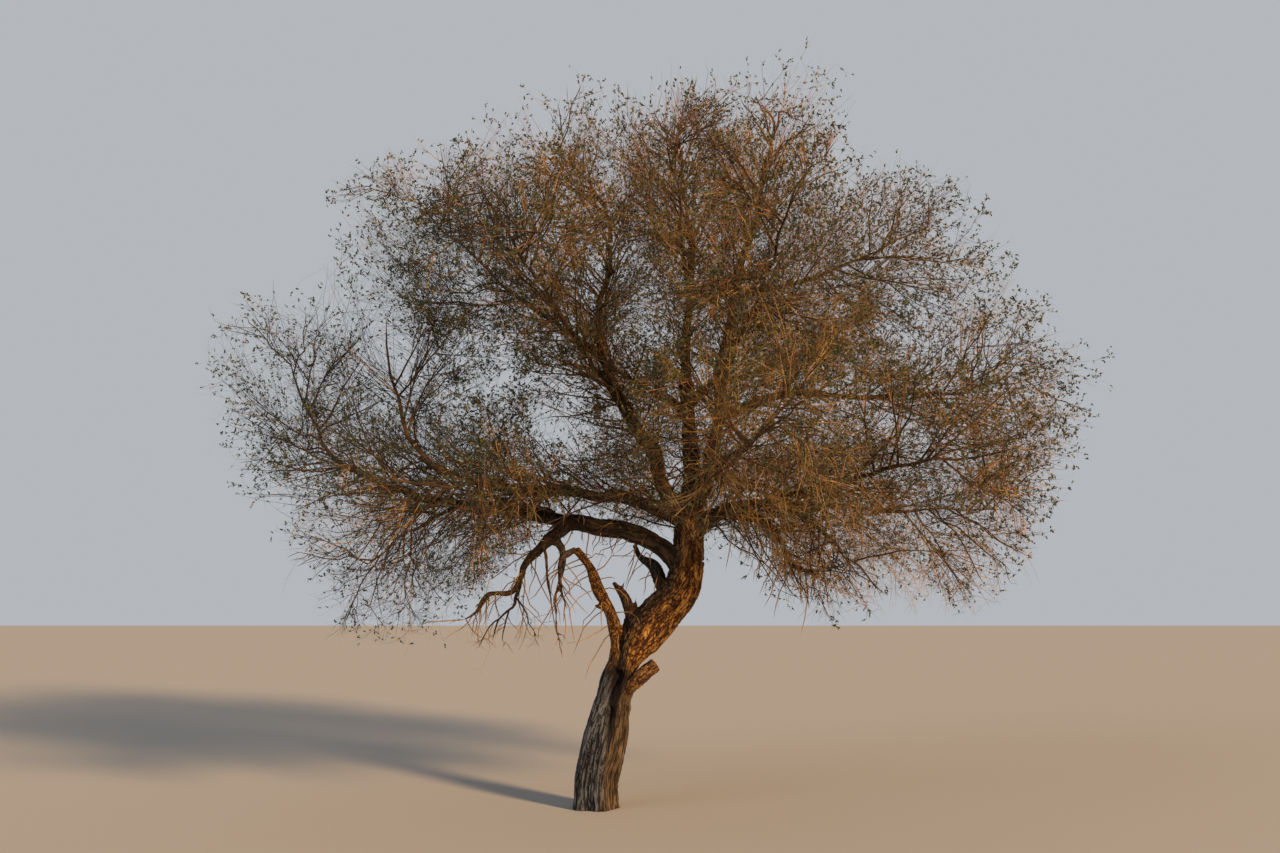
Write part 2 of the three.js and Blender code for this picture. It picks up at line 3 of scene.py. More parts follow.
import bpy
import numpy as np
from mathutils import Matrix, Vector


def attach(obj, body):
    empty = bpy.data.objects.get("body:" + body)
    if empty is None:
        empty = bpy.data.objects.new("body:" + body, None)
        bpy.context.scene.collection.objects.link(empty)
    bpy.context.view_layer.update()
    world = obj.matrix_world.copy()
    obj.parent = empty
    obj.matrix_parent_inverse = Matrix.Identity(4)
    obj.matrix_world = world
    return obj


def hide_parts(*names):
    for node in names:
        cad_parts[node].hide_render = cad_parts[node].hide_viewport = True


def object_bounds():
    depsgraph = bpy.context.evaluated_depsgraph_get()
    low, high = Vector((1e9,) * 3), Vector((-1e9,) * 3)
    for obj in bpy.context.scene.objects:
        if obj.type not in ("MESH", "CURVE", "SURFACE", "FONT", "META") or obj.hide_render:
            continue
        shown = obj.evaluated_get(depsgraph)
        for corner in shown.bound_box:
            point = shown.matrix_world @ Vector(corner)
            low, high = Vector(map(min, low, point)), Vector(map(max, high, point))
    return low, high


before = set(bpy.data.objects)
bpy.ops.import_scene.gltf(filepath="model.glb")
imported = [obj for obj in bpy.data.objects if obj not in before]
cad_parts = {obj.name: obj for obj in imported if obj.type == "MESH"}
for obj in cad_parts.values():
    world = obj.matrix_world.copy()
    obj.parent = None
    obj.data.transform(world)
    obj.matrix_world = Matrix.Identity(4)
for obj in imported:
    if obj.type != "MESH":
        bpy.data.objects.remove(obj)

# A lone acacia with a short leaning trunk, gnarled limbs and a wide crown of fine twigs. Lines and
# sizes are worked out in millimetres, as in the solids' own source, and become metres in the meshes.
MM = 0.001
cad_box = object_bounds()
UP = np.array([0.0, 0.0, 1.0])

# The trunk, from the flat cut to the fork
TRUNK_LENGTH = 1010
TRUNK_LEAN = [1, 11, 13, 12, 24]
TRUNK_FACE = [0, -5, -2, 1, 3]
TRUNK_THICK = [300, 315, 330, 312, 262, 290]
FLARE_SPREAD = 62
FLARE_HEIGHT = 110
FLUTE_COUNT = 5
FLUTE_DEPTH = 0.07
FLUTE_FADE = 1.4
FLUTE_TWIST = 40
# The seam down the front of the trunk, from the hollow under the fork, carved in and painted dark
# as shade: how high up, how far across, how wide to each side and how deep it is there
SEAM = np.array([(330, 68, 12, 0), (497, 89, 24, 40), (671, 110, 34, 72), (847, 138, 46, 96),
                 (1000, 159, 56, 104)], float)

# Limbs: name, what each springs from and how far up, sideways shift of its root, length, then the
# lean from the vertical and the compass face of each equal stretch, and the diameters along it
LIMBS = [
    ("great_limb", "trunk", 1, (0, 0, 0), 940,
     [31, 38, 36, 13], [2, 5, 6, 10], [282, 292, 300, 278, 244]),
    ("upper_stem", "great_limb", 1, (0, 0, 0), 310, [3, 2], [-12, -140], [240, 236, 212]),
    ("slender_limb", "trunk", 0.93, (-50, -8, 0), 1020,
     [5, 7, 18, 29, 21, 38], [-68, -110, -152, -168, -172, 178], [100, 90, 76, 58]),
    ("slender_limb_tip", "slender_limb", 1, (0, 0, 0), 500,
     [125, 170, 172, 160], [-175, -128, -11, -6], [50, 30, 12]),
    ("dead_snag", "great_limb", 0.3, (-72, 22, 24), 420,
     [20, 19, 38], [-170, -167, -172], [98, 72, 20]),
    ("broken_stub", "trunk", 0.76, (0, -20, 0), 440, [48, 53, 52], [-36, -24, -14], [110, 96, 84]),
    ("hooked_limb", "great_limb", 0.62, (20, 30, 20), 560,
     [50, 34, 27, 58, 30], [136, 134, 153, 177, 180], [94, 86, 66, 26]),
    ("arch_bough", "great_limb", 0.88, (0, 0, 0), 1040,
     [38, 56, 77, 80, 81], [-176, -176, -176, -176, -176], [160, 142, 130, 118]),
    ("arch_bough_end", "arch_bough", 1, (0, 0, 0), 1500,
     [78, 85, 78, 70], [-176, -175, -172, -178], [112, 90, 64, 40]),
    ("forearm_bough", "arch_bough", 0.93, (0, 0, 0), 690,
     [124, 132, 164], [-145, -153, -148], [96, 90, 60, 28]),
    ("forearm_knot", "forearm_bough", 0.3, (0, 0, 0), 330, [140, 172, 170], [20, 30, -160], [74, 56, 34]),
    ("gnarled_spur", "forearm_bough", 0.8, (0, 0, 0), 620,
     [150, 100, 142, 118], [-170, -176, 176, 178], [46, 44, 36, 14]),
    ("long_left_bough", "upper_stem", 0.8, (0, 0, 0), 1820,
     [70, 83, 88, 78], [-145, -162, -173, -178], [104, 92, 74, 52]),
    ("left_leader", "upper_stem", 0.7, (0, 0, 0), 2380,
     [32, 19, 32, 27, 12, 9, 8], [-170, -164, -174, 173, 167, 10, 20], [170, 140, 106, 66, 40]),
    ("centre_leader", "upper_stem", 1, (0, 0, 0), 2520,
     [9, 14, 7, 6, 5, 8], [64, 105, 118, -8, -55, -150], [190, 150, 112, 76, 40]),
    ("right_leader", "upper_stem", 0.85, (0, 0, 0), 2760,
     [24, 13, 7, 9, 17, 12], [-34, -41, -27, -1, 6, 20], [160, 132, 104, 78, 40]),
    ("crooked_bough", "upper_stem", 0.5, (0, 0, 0), 1230,
     [52, 76, 104, 126, 158, 120], [-35, -31, -26, -24, -24, -7], [110, 94, 70, 44, 26]),
]

# The thin dead twigs that hang under the fork, the jagged ends of the dead snag and the hooked limb,
# and a knot on the slender limb, as rows of the same kind
SMALL_ENDS = [
    ("dead_twig", "slender_limb_tip", 0.62, (0, 0, 0), 560,
     [150, 174, 178, 166, 160], [-160, -40, -20, -8, 4], [26, 22, 18, 14, 9]),
    ("dead_twig_fork", "dead_twig", 0.66, (0, 0, 0), 190, [118, 138, 96], [-10, 4, 0], [15, 11, 5]),
    ("dead_twig_side", "dead_twig", 0.84, (0, 0, 0), 150, [150, 196, 214], [0, 4, 0], [12, 9, 4]),
    ("long_dead_twig", "forearm_bough", 0.45, (0, 0, 0), 900,
     [120, 172, 177, 174, 168, 150, 158], [-70, -30, 0, 0, 0, 4, 0], [28, 24, 21, 18, 15, 12, 6]),
    ("long_dead_twig_fork", "long_dead_twig", 0.8, (0, 0, 0), 150, [205, 196], [0, 0], [11, 5]),
    ("snag_prong", "dead_snag", 0.4, (6, 0, 0), 130, [24, 2], [0, 20], [50, 32, 6]),
    ("snag_shoulder", "dead_snag", 0.46, (-14, 0, 0), 140, [0, -26], [0, 0], [58, 48, 16]),
    ("snag_splinter", "dead_snag", 0.72, (0, 0, 0), 110, [14, -26], [180, 180], [34, 22, 5]),
    ("slender_knot", "slender_limb", 0.52, (0, 0, 0), 95, [96, 70], [-160, 170], [58, 44, 20]),
    ("hook_tip", "hooked_limb", 0.86, (0, 0, 0), 120, [12, 4], [180, 0], [34, 26, 8]),
]

# Masses of foliage: name, the limb that each hangs on and how far up it, the middle and half sizes
# of its ellipsoid, and its lift, above 0 where its shoots rise and below 0 where they droop
MASSES = [
    ("far_left", "arch_bough_end", 1, (-2250, -120, 2960), (850, 850, 830), 0.3),
    ("left_drooping", "arch_bough_end", 0.5, (-1470, -450, 1950), (760, 850, 800), -0.2),
    ("forearm_hanging", "forearm_bough", 1, (-680, -330, 1420), (480, 420, 460), -0.4),
    ("front_left_low", "long_left_bough", 0.55, (-1050, -1500, 2250), (950, 850, 750), -0.05),
    ("front_low", "right_leader", 0.12, (1000, -1850, 2500), (850, 950, 700), -0.05),
    ("front_right_low", "crooked_bough", 0.25, (2180, -1450, 2400), (830, 900, 780), -0.1),
    ("right_low", "upper_stem", 0.9, (2600, 100, 2230), (900, 900, 850), -0.1),
    ("right_hanging", "right_low_bough", 0.55, (1750, -480, 1980), (800, 700, 650), -0.35),
    ("back_right_low", "centre_leader", 0.1, (1950, 1550, 2400), (950, 950, 850), -0.1),
    ("back_low", "upper_stem", 0.75, (450, 1950, 2450), (950, 950, 800), -0.1),
    ("back_left_low", "arch_bough", 0.8, (-1250, 1150, 2450), (1000, 950, 850), -0.05),
    ("left_middle", "long_left_bough", 1, (-1300, -450, 2950), (850, 850, 760), 0.1),
    ("front_left_middle", "left_leader", 0.35, (-450, -1500, 3650), (900, 850, 800), 0.05),
    ("front_middle", "right_leader", 0.4, (1150, -1650, 3650), (900, 900, 850), 0.05),
    ("right_middle", "right_leader", 0.3, (3050, -100, 3080), (950, 950, 700), 0.05),
    ("back_right_middle", "centre_leader", 0.35, (1850, 1500, 3700), (950, 950, 850), 0.05),
    ("back_left_middle", "centre_leader", 0.3, (-150, 1600, 3700), (1000, 950, 850), 0.05),
    ("upper_left", "left_leader", 0.6, (-1120, -100, 4130), (950, 900, 830), 0.15),
    ("upper_right", "right_leader", 0.62, (2160, -100, 4060), (900, 950, 780), 0.12),
    ("upper_front", "centre_leader", 0.72, (550, -700, 4450), (850, 800, 780), 0.15),
    ("upper_back", "centre_leader", 0.78, (750, 1150, 4650), (900, 850, 800), 0.15),
    ("top_left", "left_leader", 1, (-310, 50, 4760), (780, 750, 770), 0.2),
    ("top_centre", "centre_leader", 1, (620, 150, 5030), (650, 700, 660), 0.2),
    ("top_right", "right_leader", 1, (1400, 0, 5080), (680, 800, 850), 0.2),
]
# The one mass without leaves, and the heart of the crown, which shoots straight from the limbs fill
BARE_MASS = [name for name, *_ in MASSES].index("forearm_hanging")
HEART_MIDDLE = np.array([600.0, 0.0, 3300.0])
HEART_HALF = np.array([2100.0, 1600.0, 1500.0])

# The boughs that carry the masses, and where they enter them
BOUGH_THICK = [92, 46, 32]
BOUGH_SHARE = 0.72
BOUGH_PULL = [0.38, 0.3]
BOUGH_STEPS = 3
LIMB_FOLLOW = 0.55
ENTRY_SHARE = [0.9, 0.86]
ENTRY_STEP = 0.03
ENTRY_MARGIN = 70
SPACE_MARGIN = 12

# The growth rule. The first three orders are the solids' own; the later ones carry it on to twigs.
# Share is a side shoot's length beside its parent's, spread the angle at which it leaves it, flow
# how strongly it turns outwards from the heart of the crown, and density how many grow in a cubic
# metre of the crown's rim, shared out among the parents there, from fewest to most on each. Trims
# is how often a shoot that crosses the crown's outline is cut back.
ORDERS = [
    dict(steps=3, thick=(32, 16)),
    dict(steps=2, thick=(16, 10), share=0.72, spread=(42, 74), wander=0.16, flow=0.0,
         shortest=220, fewest=14, most=14, density=1.0, cell=600.0, trims=1),
    dict(steps=1, thick=(11, 7), share=0.62, spread=(34, 62), wander=0.2, flow=0.1,
         shortest=110, fewest=3, most=26, density=200.0, cell=620.0, trims=1),
    dict(steps=2, thick=(12, 9.4), share=0.64, spread=(36, 86), wander=0.72, flow=0.14,
         shortest=60, fewest=1, most=18, density=780.0, cell=420.0),
    dict(steps=1, thick=(11.5, 6.4), share=0.38, spread=(42, 84), wander=0.2, flow=0.15,
         shortest=26, fewest=0.5, most=12, density=1600.0, cell=320.0),
]
SOLID_ORDERS = 2
# Orders from 5 up have no row here: they only keep the draws of other kinds of shoots apart
# Side shoots leave a flat side of their parent's solid, which has so many
STEM_SIDES, SHOOT_SIDES = 4, 3
FIRST_SIDE = 0.08
SIDE_STRETCH = 0.88
GOLDEN_SHARE = 0.618034
SIDE_SHARE = 0.381966
SIDE_JITTER = 0.16
REACH_SHARE = 0.94
STEM_BEND = 0.35
STEM_SEED = 977
LIMB_SEED = 1303
SIDE_ROOM = 1.9
ROOM_TAPER = 0.8
STEP_LIFT = 0.3
SIDE_LIFT = 0.5
LENGTH_FADE = (1.2, 0.45)
LENGTH_CHANCE = (0.8, 0.4)

# Numbers of the draws that a shoot's seed gives, besides those for its wandering from 0 up
SPREAD_DRAW, TURN_DRAW, LENGTH_DRAW, JITTER_DRAW, TINT_DRAW, GAP_DRAW, ROOM_DRAW = range(90, 97)
EDGE_DRAW = 120
LEAF_DRAW = 300
SEED_DRAW = 1000
LARGEST_SEED = 0xFFFFFFFF
# What keeps the smooth noise of one use apart from that of the others
CROOK_SALT, LIMB_SALT, PATTERN_SALT, PLATE_SALT = 61, 71, 11, 21
FURROW_SALT, GREY_SALT, LUMP_SALT, SIDE_SALT = 23, 41, 51, 61
GRID_X, GRID_Y, GRID_Z = 73856093, 19349663, 83492791
NEARLY_ALONG, TINY, FAR = 0.9, 1e-6, 1e9


def unit(vectors):
    return vectors / np.maximum(np.linalg.norm(vectors, axis=-1, keepdims=True), 1e-9)


def between(low, high, share):
    return low + (high - low) * share


def rise(values, start, end):
    """How far values have come from the start to the end, from 0 to 1."""
    return np.clip((values - start) / (end - start), 0, 1)


def outness(points, middle, half):
    """How far out points lie in an ellipsoid, squared: 0 at its middle and 1 on its skin."""
    return np.sum(((points - middle) / half) ** 2, -1)


def chance(seed, draw):
    """A number from 0 to 1 that depends only on a seed and the number of the draw."""
    word = np.uint64(LARGEST_SEED)
    stirred = (np.asarray(draw, np.uint64) + np.uint64(1)) * np.uint64(0x9E3779B1) & word
    mixed = (np.asarray(seed, np.uint64) ^ stirred) * np.uint64(0x85EBCA6B) & word
    mixed = mixed ^ (mixed >> np.uint64(13))
    mixed = mixed * np.uint64(0xC2B2AE35) & word
    mixed = mixed ^ (mixed >> np.uint64(16))
    return mixed / (LARGEST_SEED + 1.0)


def seed_of(seed, index):
    return np.floor(chance(seed, SEED_DRAW + index) * LARGEST_SEED).astype(np.uint64)


def heading(lean, face):
    across = math.sin(math.radians(lean))
    turn = math.radians(face)
    return np.array([across * math.cos(turn), across * math.sin(turn), math.cos(math.radians(lean))])


def limb_path(start, length, leans, faces):
    points = [np.array(start, float)]
    for lean, face in zip(leans, faces):
        points.append(points[-1] + heading(lean, face) * length / len(leans))
    return np.array(points)


def along(values, fraction):
    """The value at a fraction of an evenly spaced list."""
    return np.interp(fraction, np.linspace(0, 1, len(values)), values)


def point_along(points, fraction):
    return np.stack([along(points[:, axis], fraction) for axis in range(3)], -1)


def heading_along(points, fraction):
    steps = len(points) - 1
    index = np.minimum(np.asarray(fraction * steps).astype(int), steps - 1)
    return unit(points[index + 1] - points[index])


def seam_at(height):
    """How far across, how wide and how deep the trunk's seam is at each height."""
    high, *rows = SEAM.T
    return [np.interp(height, high, row) for row in rows]


def frames_of(points):
    """Two directions across each of many lines, turned as little as may be from point to point."""
    ahead = np.concatenate([points[:, 1:], points[:, -1:]], 1)
    behind = np.concatenate([points[:, :1], points[:, :-1]], 1)
    onward = unit(ahead - behind)
    alongside = np.abs(unit(points[:, 1] - points[:, 0])[:, 0]) > NEARLY_ALONG
    right = np.where(alongside[:, None], [0.0, 1.0, 0.0], [1.0, 0.0, 0.0])
    rights = []
    for index in range(points.shape[1]):
        way = onward[:, index]
        right = unit(right - way * np.sum(right * way, 1, keepdims=True))
        rights.append(right)
    rights = np.stack(rights, 1)
    return rights, np.cross(rights, onward)


def eased(points, per_step):
    """Smooth curves through the points of many lines, with per_step points to a stretch."""
    before = np.concatenate([2 * points[:, :1] - points[:, 1:2], points[:, :-1]], 1)
    after = np.concatenate([points[:, 1:], 2 * points[:, -1:] - points[:, -2:-1]], 1)
    slope = (after - before) / 2
    out = []
    for step in range(points.shape[1] - 1):
        a, b = points[:, step], points[:, step + 1]
        for inner in range(per_step):
            t = inner / per_step
            out.append(a * (2 * t**3 - 3 * t**2 + 1) + slope[:, step] * (t**3 - 2 * t**2 + t)
                       + b * (3 * t**2 - 2 * t**3) + slope[:, step + 1] * (t**3 - t**2))
    out.append(points[:, -1])
    return np.stack(out, 1)


def noise_cell(cells, salt):
    """A number from 0 to 1 for each cell of a grid."""
    x, y, z = (cells[..., axis].astype(np.int64) for axis in range(3))
    return chance((x * GRID_X ^ y * GRID_Y ^ z * GRID_Z) & LARGEST_SEED, salt)


def cloud(points, salt):
    """Smooth noise from 0 to 1."""
    base = np.floor(points)
    inner = points - base
    inner = inner * inner * (3 - 2 * inner)
    total = np.zeros(points.shape[:-1])
    for corner in np.ndindex(2, 2, 2):
        weight = np.prod(np.where(np.array(corner), inner, 1 - inner), -1)
        total += weight * noise_cell(base + np.array(corner), salt)
    return total


def stray(points, salt):
    """Smooth noise from -0.5 to 0.5 along each axis."""
    return np.stack([cloud(points, salt + axis) - 0.5 for axis in range(3)], -1)


# Every limb by name: its line and its radius at each point of it
limb_book = {}
trunk_line = limb_path((0, 0, 0), TRUNK_LENGTH, TRUNK_LEAN, TRUNK_FACE)


def trunk_radius(height):
    flare = FLARE_SPREAD * np.exp(-height / FLARE_HEIGHT)
    return along(TRUNK_THICK, height / trunk_line[-1, 2]) / 2 + flare


def lay_limb(name, parent, at, shift, length, leans, faces, thick):
    start = point_along(limb_book[parent][0], at) + np.array(shift, float)
    points = limb_path(start, length, leans, faces)
    limb_book[name] = (points, along(thick, np.linspace(0, 1, len(points))) / 2)


limb_book["trunk"] = (trunk_line, trunk_radius(trunk_line[:, 2]))
for limb_row in LIMBS + SMALL_ENDS:
    lay_limb(*limb_row)

mass_middle = np.array([row[3] for row in MASSES], float)
mass_half = np.array([row[4] for row in MASSES], float)
mass_ball = np.cbrt(mass_half.prod(1))
mass_lift = np.array([row[5] for row in MASSES])


def wall_distances(mass, point):
    """How far a point lies inside the flat walls between one mass's space and each of the others."""
    apart = np.linalg.norm(mass_middle - mass_middle[mass], axis=1)
    score = np.sum((point - mass_middle) ** 2, 1) - mass_ball ** 2
    apart[mass] = 1.0
    distances = (score - score[mass]) / (2 * apart)
    distances[mass] = np.inf
    return distances


def in_space(mass, point):
    """True where a point is well inside a mass's ellipsoid and the walls round its space."""
    out = np.linalg.norm((point - mass_middle[mass]) / mass_half[mass])
    inside = out < 1 - ENTRY_MARGIN / mass_ball[mass]
    return inside and wall_distances(mass, point).min() > ENTRY_MARGIN


def ellipsoid_reach(mass, start, direction):
    """How far each point can go in its direction before it leaves the ellipsoid of its mass."""
    start_in = (start - mass_middle[mass]) / mass_half[mass]
    going = direction / mass_half[mass]
    square = np.sum(going ** 2, -1)
    half = np.sum(start_in * going, -1)
    rest = np.sum(start_in ** 2, -1) - (1 - SPACE_MARGIN / mass_ball[mass]) ** 2
    return np.maximum((-half + np.sqrt(np.maximum(half ** 2 - square * rest, 0))) / square, 0)


def wall_reach(mass, point, direction):
    """How far a point can go in a direction before it meets a wall of the mass's own space."""
    towards = unit(mass_middle - mass_middle[mass]) @ direction
    distances = wall_distances(mass, point)
    meeting = towards > TINY
    return max(np.min((distances[meeting] - SPACE_MARGIN) / towards[meeting], initial=FAR), 0)


def pulled_curve(controls, steps):
    """Points of a smooth curve from its first control to its last, which the others pull aside."""
    points = []
    for share in np.linspace(0, 1, steps + 1):
        level = [np.array(control) for control in controls]
        while len(level) > 1:
            level = [between(a, b, share) for a, b in zip(level, level[1:])]
        points.append(level[0])
    return np.array(points)


def lay_bough(index, name, limb, at, middle, half, lift):
    """The bough of a mass, as in the solids, and where its stem starts: (start, heading, thickness)."""
    points, radii = limb_book[limb]
    start = point_along(points, at)
    if at == 1:
        return start, heading_along(points, 1), radii[-1] * 2
    middle = np.array(middle, float)
    outside = np.linalg.norm((start - middle) / np.array(half))
    share = min(ENTRY_SHARE[0] / outside, ENTRY_SHARE[1])
    entry = middle + (start - middle) * share
    while not in_space(index, entry):
        share -= ENTRY_STEP
        entry = middle + (start - middle) * share
    inward = unit(unit(middle - entry) + UP * lift * LIMB_FOLLOW)
    span = np.linalg.norm(entry - start)
    leaving = unit(heading_along(points, at) * LIMB_FOLLOW + unit(entry - start))
    line = pulled_curve([start, start + leaving * span * BOUGH_PULL[0],
                         entry - inward * span * BOUGH_PULL[1], entry], BOUGH_STEPS)
    root = min(2 * along(radii, at) * BOUGH_SHARE, BOUGH_THICK[0])
    bough_radii = along([root, *BOUGH_THICK[1:]], np.linspace(0, 1, BOUGH_STEPS + 1)) / 2
    limb_book[f"{name}_bough"] = (line, bough_radii)
    return entry, heading_along(line, 1), BOUGH_THICK[2]


def stem_of(index, row):
    """The stem of a mass: its points, its length and its thickness at the root."""
    entry, onward, thick = lay_bough(index, *row)
    across = unit(unit(mass_middle[index] - entry) + UP * mass_lift[index])
    length = REACH_SHARE * min(ellipsoid_reach(index, entry, across), wall_reach(index, entry, across))
    while depth_in_outline((entry + across * length)[None])[0] < STEM_DEPTH and length > STEM_SHORTEST:
        length *= STEM_TRIM
    points = pulled_curve([entry, entry + onward * length * STEM_BEND, entry + across * length],
                          ORDERS[0]["steps"])
    return points, length, thick


class Shoots:
    """Many shoots of one order: lines, lengths, seeds, end thicknesses, masses and lifts, row by row."""

    FIELDS = ("points", "length", "seed", "thick", "mass", "lift", "tint")

    def __init__(self, order, **fields):
        self.order = order
        for field in self.FIELDS:
            setattr(self, field, fields[field])

    def pick(self, chosen):
        return Shoots(self.order, **{field: getattr(self, field)[chosen] for field in self.FIELDS})

    def joined(self, *others):
        return Shoots(self.order, **{field: np.concatenate([getattr(s, field) for s in (self, *others)])
                                     for field in self.FIELDS})

    def __len__(self):
        return len(self.length)


def lift_rows(vectors, lift):
    return vectors + UP * lift[:, None]


def lay_lines(start, direction, length, seed, lift, rule):
    """The lines of shoots, which wander a little at each step and bend by their lift."""
    points = [start]
    for step in range(rule["steps"]):
        aside = np.stack([2 * chance(seed, 3 * step + axis) - 1 for axis in range(3)], 1)
        direction = unit(lift_rows(direction + aside * rule["wander"], lift * STEP_LIFT))
        points.append(points[-1] + direction * (length / rule["steps"])[:, None])
    return np.stack(points, 1)


def side_shoots(parents, index, rule, lift):
    """Side shoot number index of every parent, at a golden-ratio place along it."""
    seed = seed_of(parents.seed, index)
    fraction = FIRST_SIDE + SIDE_STRETCH * ((0.5 + index * GOLDEN_SHARE) % 1)
    steps = parents.points.shape[1] - 1
    place = fraction * steps
    segment = min(int(place), steps - 1)
    right, other = frames_of(parents.points)
    run = parents.points[:, segment + 1] - parents.points[:, segment]
    spread = np.radians(between(*rule["spread"], chance(seed, SPREAD_DRAW)))[:, None]
    sides = SHOOT_SIDES if parents.order else STEM_SIDES
    turned = (index * SIDE_SHARE + chance(parents.seed, TURN_DRAW)) % 1
    angle = np.floor(sides * turned) + 0.5 + SIDE_JITTER * (chance(seed, JITTER_DRAW) - 0.5)
    angle = (2 * np.pi * angle / sides)[:, None]
    outward = right[:, segment] * np.sin(angle) + other[:, segment] * np.cos(angle)
    direction = unit(run) * np.cos(spread) + outward * np.sin(spread)
    start = parents.points[:, segment] + run * (place - segment)
    from_heart = unit(start - HEART_MIDDLE)
    direction = unit(lift_rows(direction + from_heart * rule["flow"], lift * SIDE_LIFT))
    length = (parents.length * rule["share"] * (LENGTH_FADE[0] - LENGTH_FADE[1] * fraction)
              * (LENGTH_CHANCE[0] + LENGTH_CHANCE[1] * chance(seed, LENGTH_DRAW)))
    room = SIDE_ROOM / 2 * between(*parents.thick.T, fraction) * math.cos(math.pi / sides)
    thick = np.stack([np.minimum(rule["thick"][0], room),
                      np.minimum(rule["thick"][1], room * ROOM_TAPER)], 1)
    return start, direction, length, seed, thick


# The camera stands where the photograph was taken from. Its frame is 1280 by 853 pixels.
FRAME_WIDE, FRAME_HIGH = 1280, 853
CAMERA_AT = np.array([310.0, -9260.0, 1500.0])
CAMERA_PITCH = 7.85
LENS_MM = 35.0
SENSOR_MM = 36.0


def seen_at(points):
    """Where points fall in the photograph's frame, in pixels from its top left."""
    pitch = math.radians(CAMERA_PITCH)
    away = np.array([0, math.cos(pitch), math.sin(pitch)])
    upward = np.array([0, -math.sin(pitch), math.cos(pitch)])
    offset = points - CAMERA_AT
    focal = LENS_MM / SENSOR_MM * FRAME_WIDE / (offset @ away)
    across = FRAME_WIDE / 2 + offset[..., 0] * focal
    down = FRAME_HIGH / 2 - (offset @ upward) * focal
    return np.stack([across, down], -1)


# Openings where the sky shows through the crown, and where its leaders show: middle and half size in
# the photograph's pixels, how far back they reach, and the share of the twigs that is missing there
OPENINGS = [
    ((562, 418), (30, 42), 9000.0, 0.5),
    ((398, 362), (36, 26), 9000.0, 0.75),
    ((360, 322), (18, 22), 9000.0, 0.5),
    ((345, 385), (130, 75), 9000.0, 0.16),
    ((960, 556), (100, 40), 9000.0, 0.22),
    ((790, 560), (90, 26), 9000.0, 0.1),
    ((370, 545), (90, 36), 9000.0, 0.25),
    ((668, 472), (12, 16), 9000.0, 0.6),
    ((888, 424), (16, 12), 9000.0, 0.6),
    ((988, 345), (18, 13), 9000.0, 0.6),
    ((640, 562), (44, 30), 9000.0, 0.9),
    ((735, 556), (32, 30), 9000.0, 0.55),
    ((548, 562), (34, 22), 9000.0, 0.6),
    ((612, 372), (18, 34), -60.0, 0.5),
    ((694, 440), (14, 70), -60.0, 0.5),
    ((600, 520), (90, 12), -60.0, 0.7),
]
OPENING_EDGE = (1.175, 0.825)


def in_opening(points, seed):
    spots = seen_at(points)
    dropped = np.zeros(len(points), bool)
    for middle, half, back, share in OPENINGS:
        missing = share * rise(outness(spots, middle, half) ** 0.5, *OPENING_EDGE)
        dropped |= (points[:, 1] < back) & (chance(seed, GAP_DRAW) < missing)
    return dropped


# The crown's outline in the photograph's pixels. Twigs thin out towards it, and stems end before it.
OUTLINE = np.array([
    (186, 400), (198, 335), (260, 280), (302, 308), (330, 300), (320, 258), (312, 215), (336, 170),
    (386, 138), (432, 152), (456, 74), (500, 104), (556, 92), (588, 50), (632, 84), (700, 66),
    (760, 70), (800, 44), (840, 44), (846, 120), (856, 168), (890, 160), (965, 172), (1008, 235),
    (1048, 272), (1068, 340), (1138, 370), (1100, 396), (1096, 445), (1056, 492), (1044, 545),
    (1030, 600), (960, 640), (540, 690), (330, 660), (312, 590), (262, 542), (284, 508), (220, 490),
    (234, 466),
], float)
OUTLINE_EDGE = 40.0
OUTLINE_PAST = 16.0
OUTLINE_SHARE = 0.36
PAST_SHARE = 0.72
STEM_DEPTH = 45.0
STEM_SHORTEST = 250.0
STEM_TRIM = 0.94


def depth_in_outline(points):
    """How many pixels inside the crown's outline points are seen, below 0 outside it."""
    spots = seen_at(points)
    nearest = np.full(len(points), FAR)
    inside = np.zeros(len(points), bool)
    for start, end in zip(OUTLINE, np.roll(OUTLINE, -1, 0)):
        run = end - start
        share = np.clip((spots - start) @ run / (run @ run), 0, 1)
        nearest = np.minimum(nearest, np.linalg.norm(spots - start - share[:, None] * run, axis=1))
        straddles = (start[1] > spots[:, 1]) != (end[1] > spots[:, 1])
        if run[1]:
            inside ^= straddles & (spots[:, 0] < start[0] + run[0] * (spots[:, 1] - start[1]) / run[1])
    return np.where(inside, nearest, -nearest)


def past_outline(points, seed, allowed):
    """True for shoots that end outside the outline, and by chance for some that end close to it."""
    depth = depth_in_outline(points) + allowed
    kept = between(OUTLINE_SHARE, 1, rise(depth, 0, OUTLINE_EDGE))
    return (chance(seed, EDGE_DRAW) > kept) | (depth < -OUTLINE_PAST)


# How far past the ellipsoids of the masses twigs may end, as a share of the square
CROWN_EASE = 1.25


def in_crown(points):
    """True where points lie in the crown: in some mass's ellipsoid, or in the heart of the crown."""
    inside = outness(points, HEART_MIDDLE, HEART_HALF) < 1
    for middle, half in zip(mass_middle, mass_half):
        inside |= outness(points, middle, half) < CROWN_EASE
    return inside


# The crown is fullest at its rim and thinner within, at its top and where it has no leaves
RIM_MIDDLE = np.array([450.0, 50.0, 3200.0])
RIM_HALF = np.array([3400.0, 2750.0, 2700.0])
RIM_RANGE = (0.3, 0.75)
HEART_SHARE = 0.66
TOP_RANGE = (4400.0, 5300.0)
TOP_THINNER = 0.62
BARE_SHARE = 0.22
# Twigs veil the leaders from the front, and fill the crown to their left: middle, half size, share
VEILS = [((550, -1250, 3500), (1200, 1100, 1000), 0.8), ((-650, -450, 3000), (600, 900, 620), 1.3)]


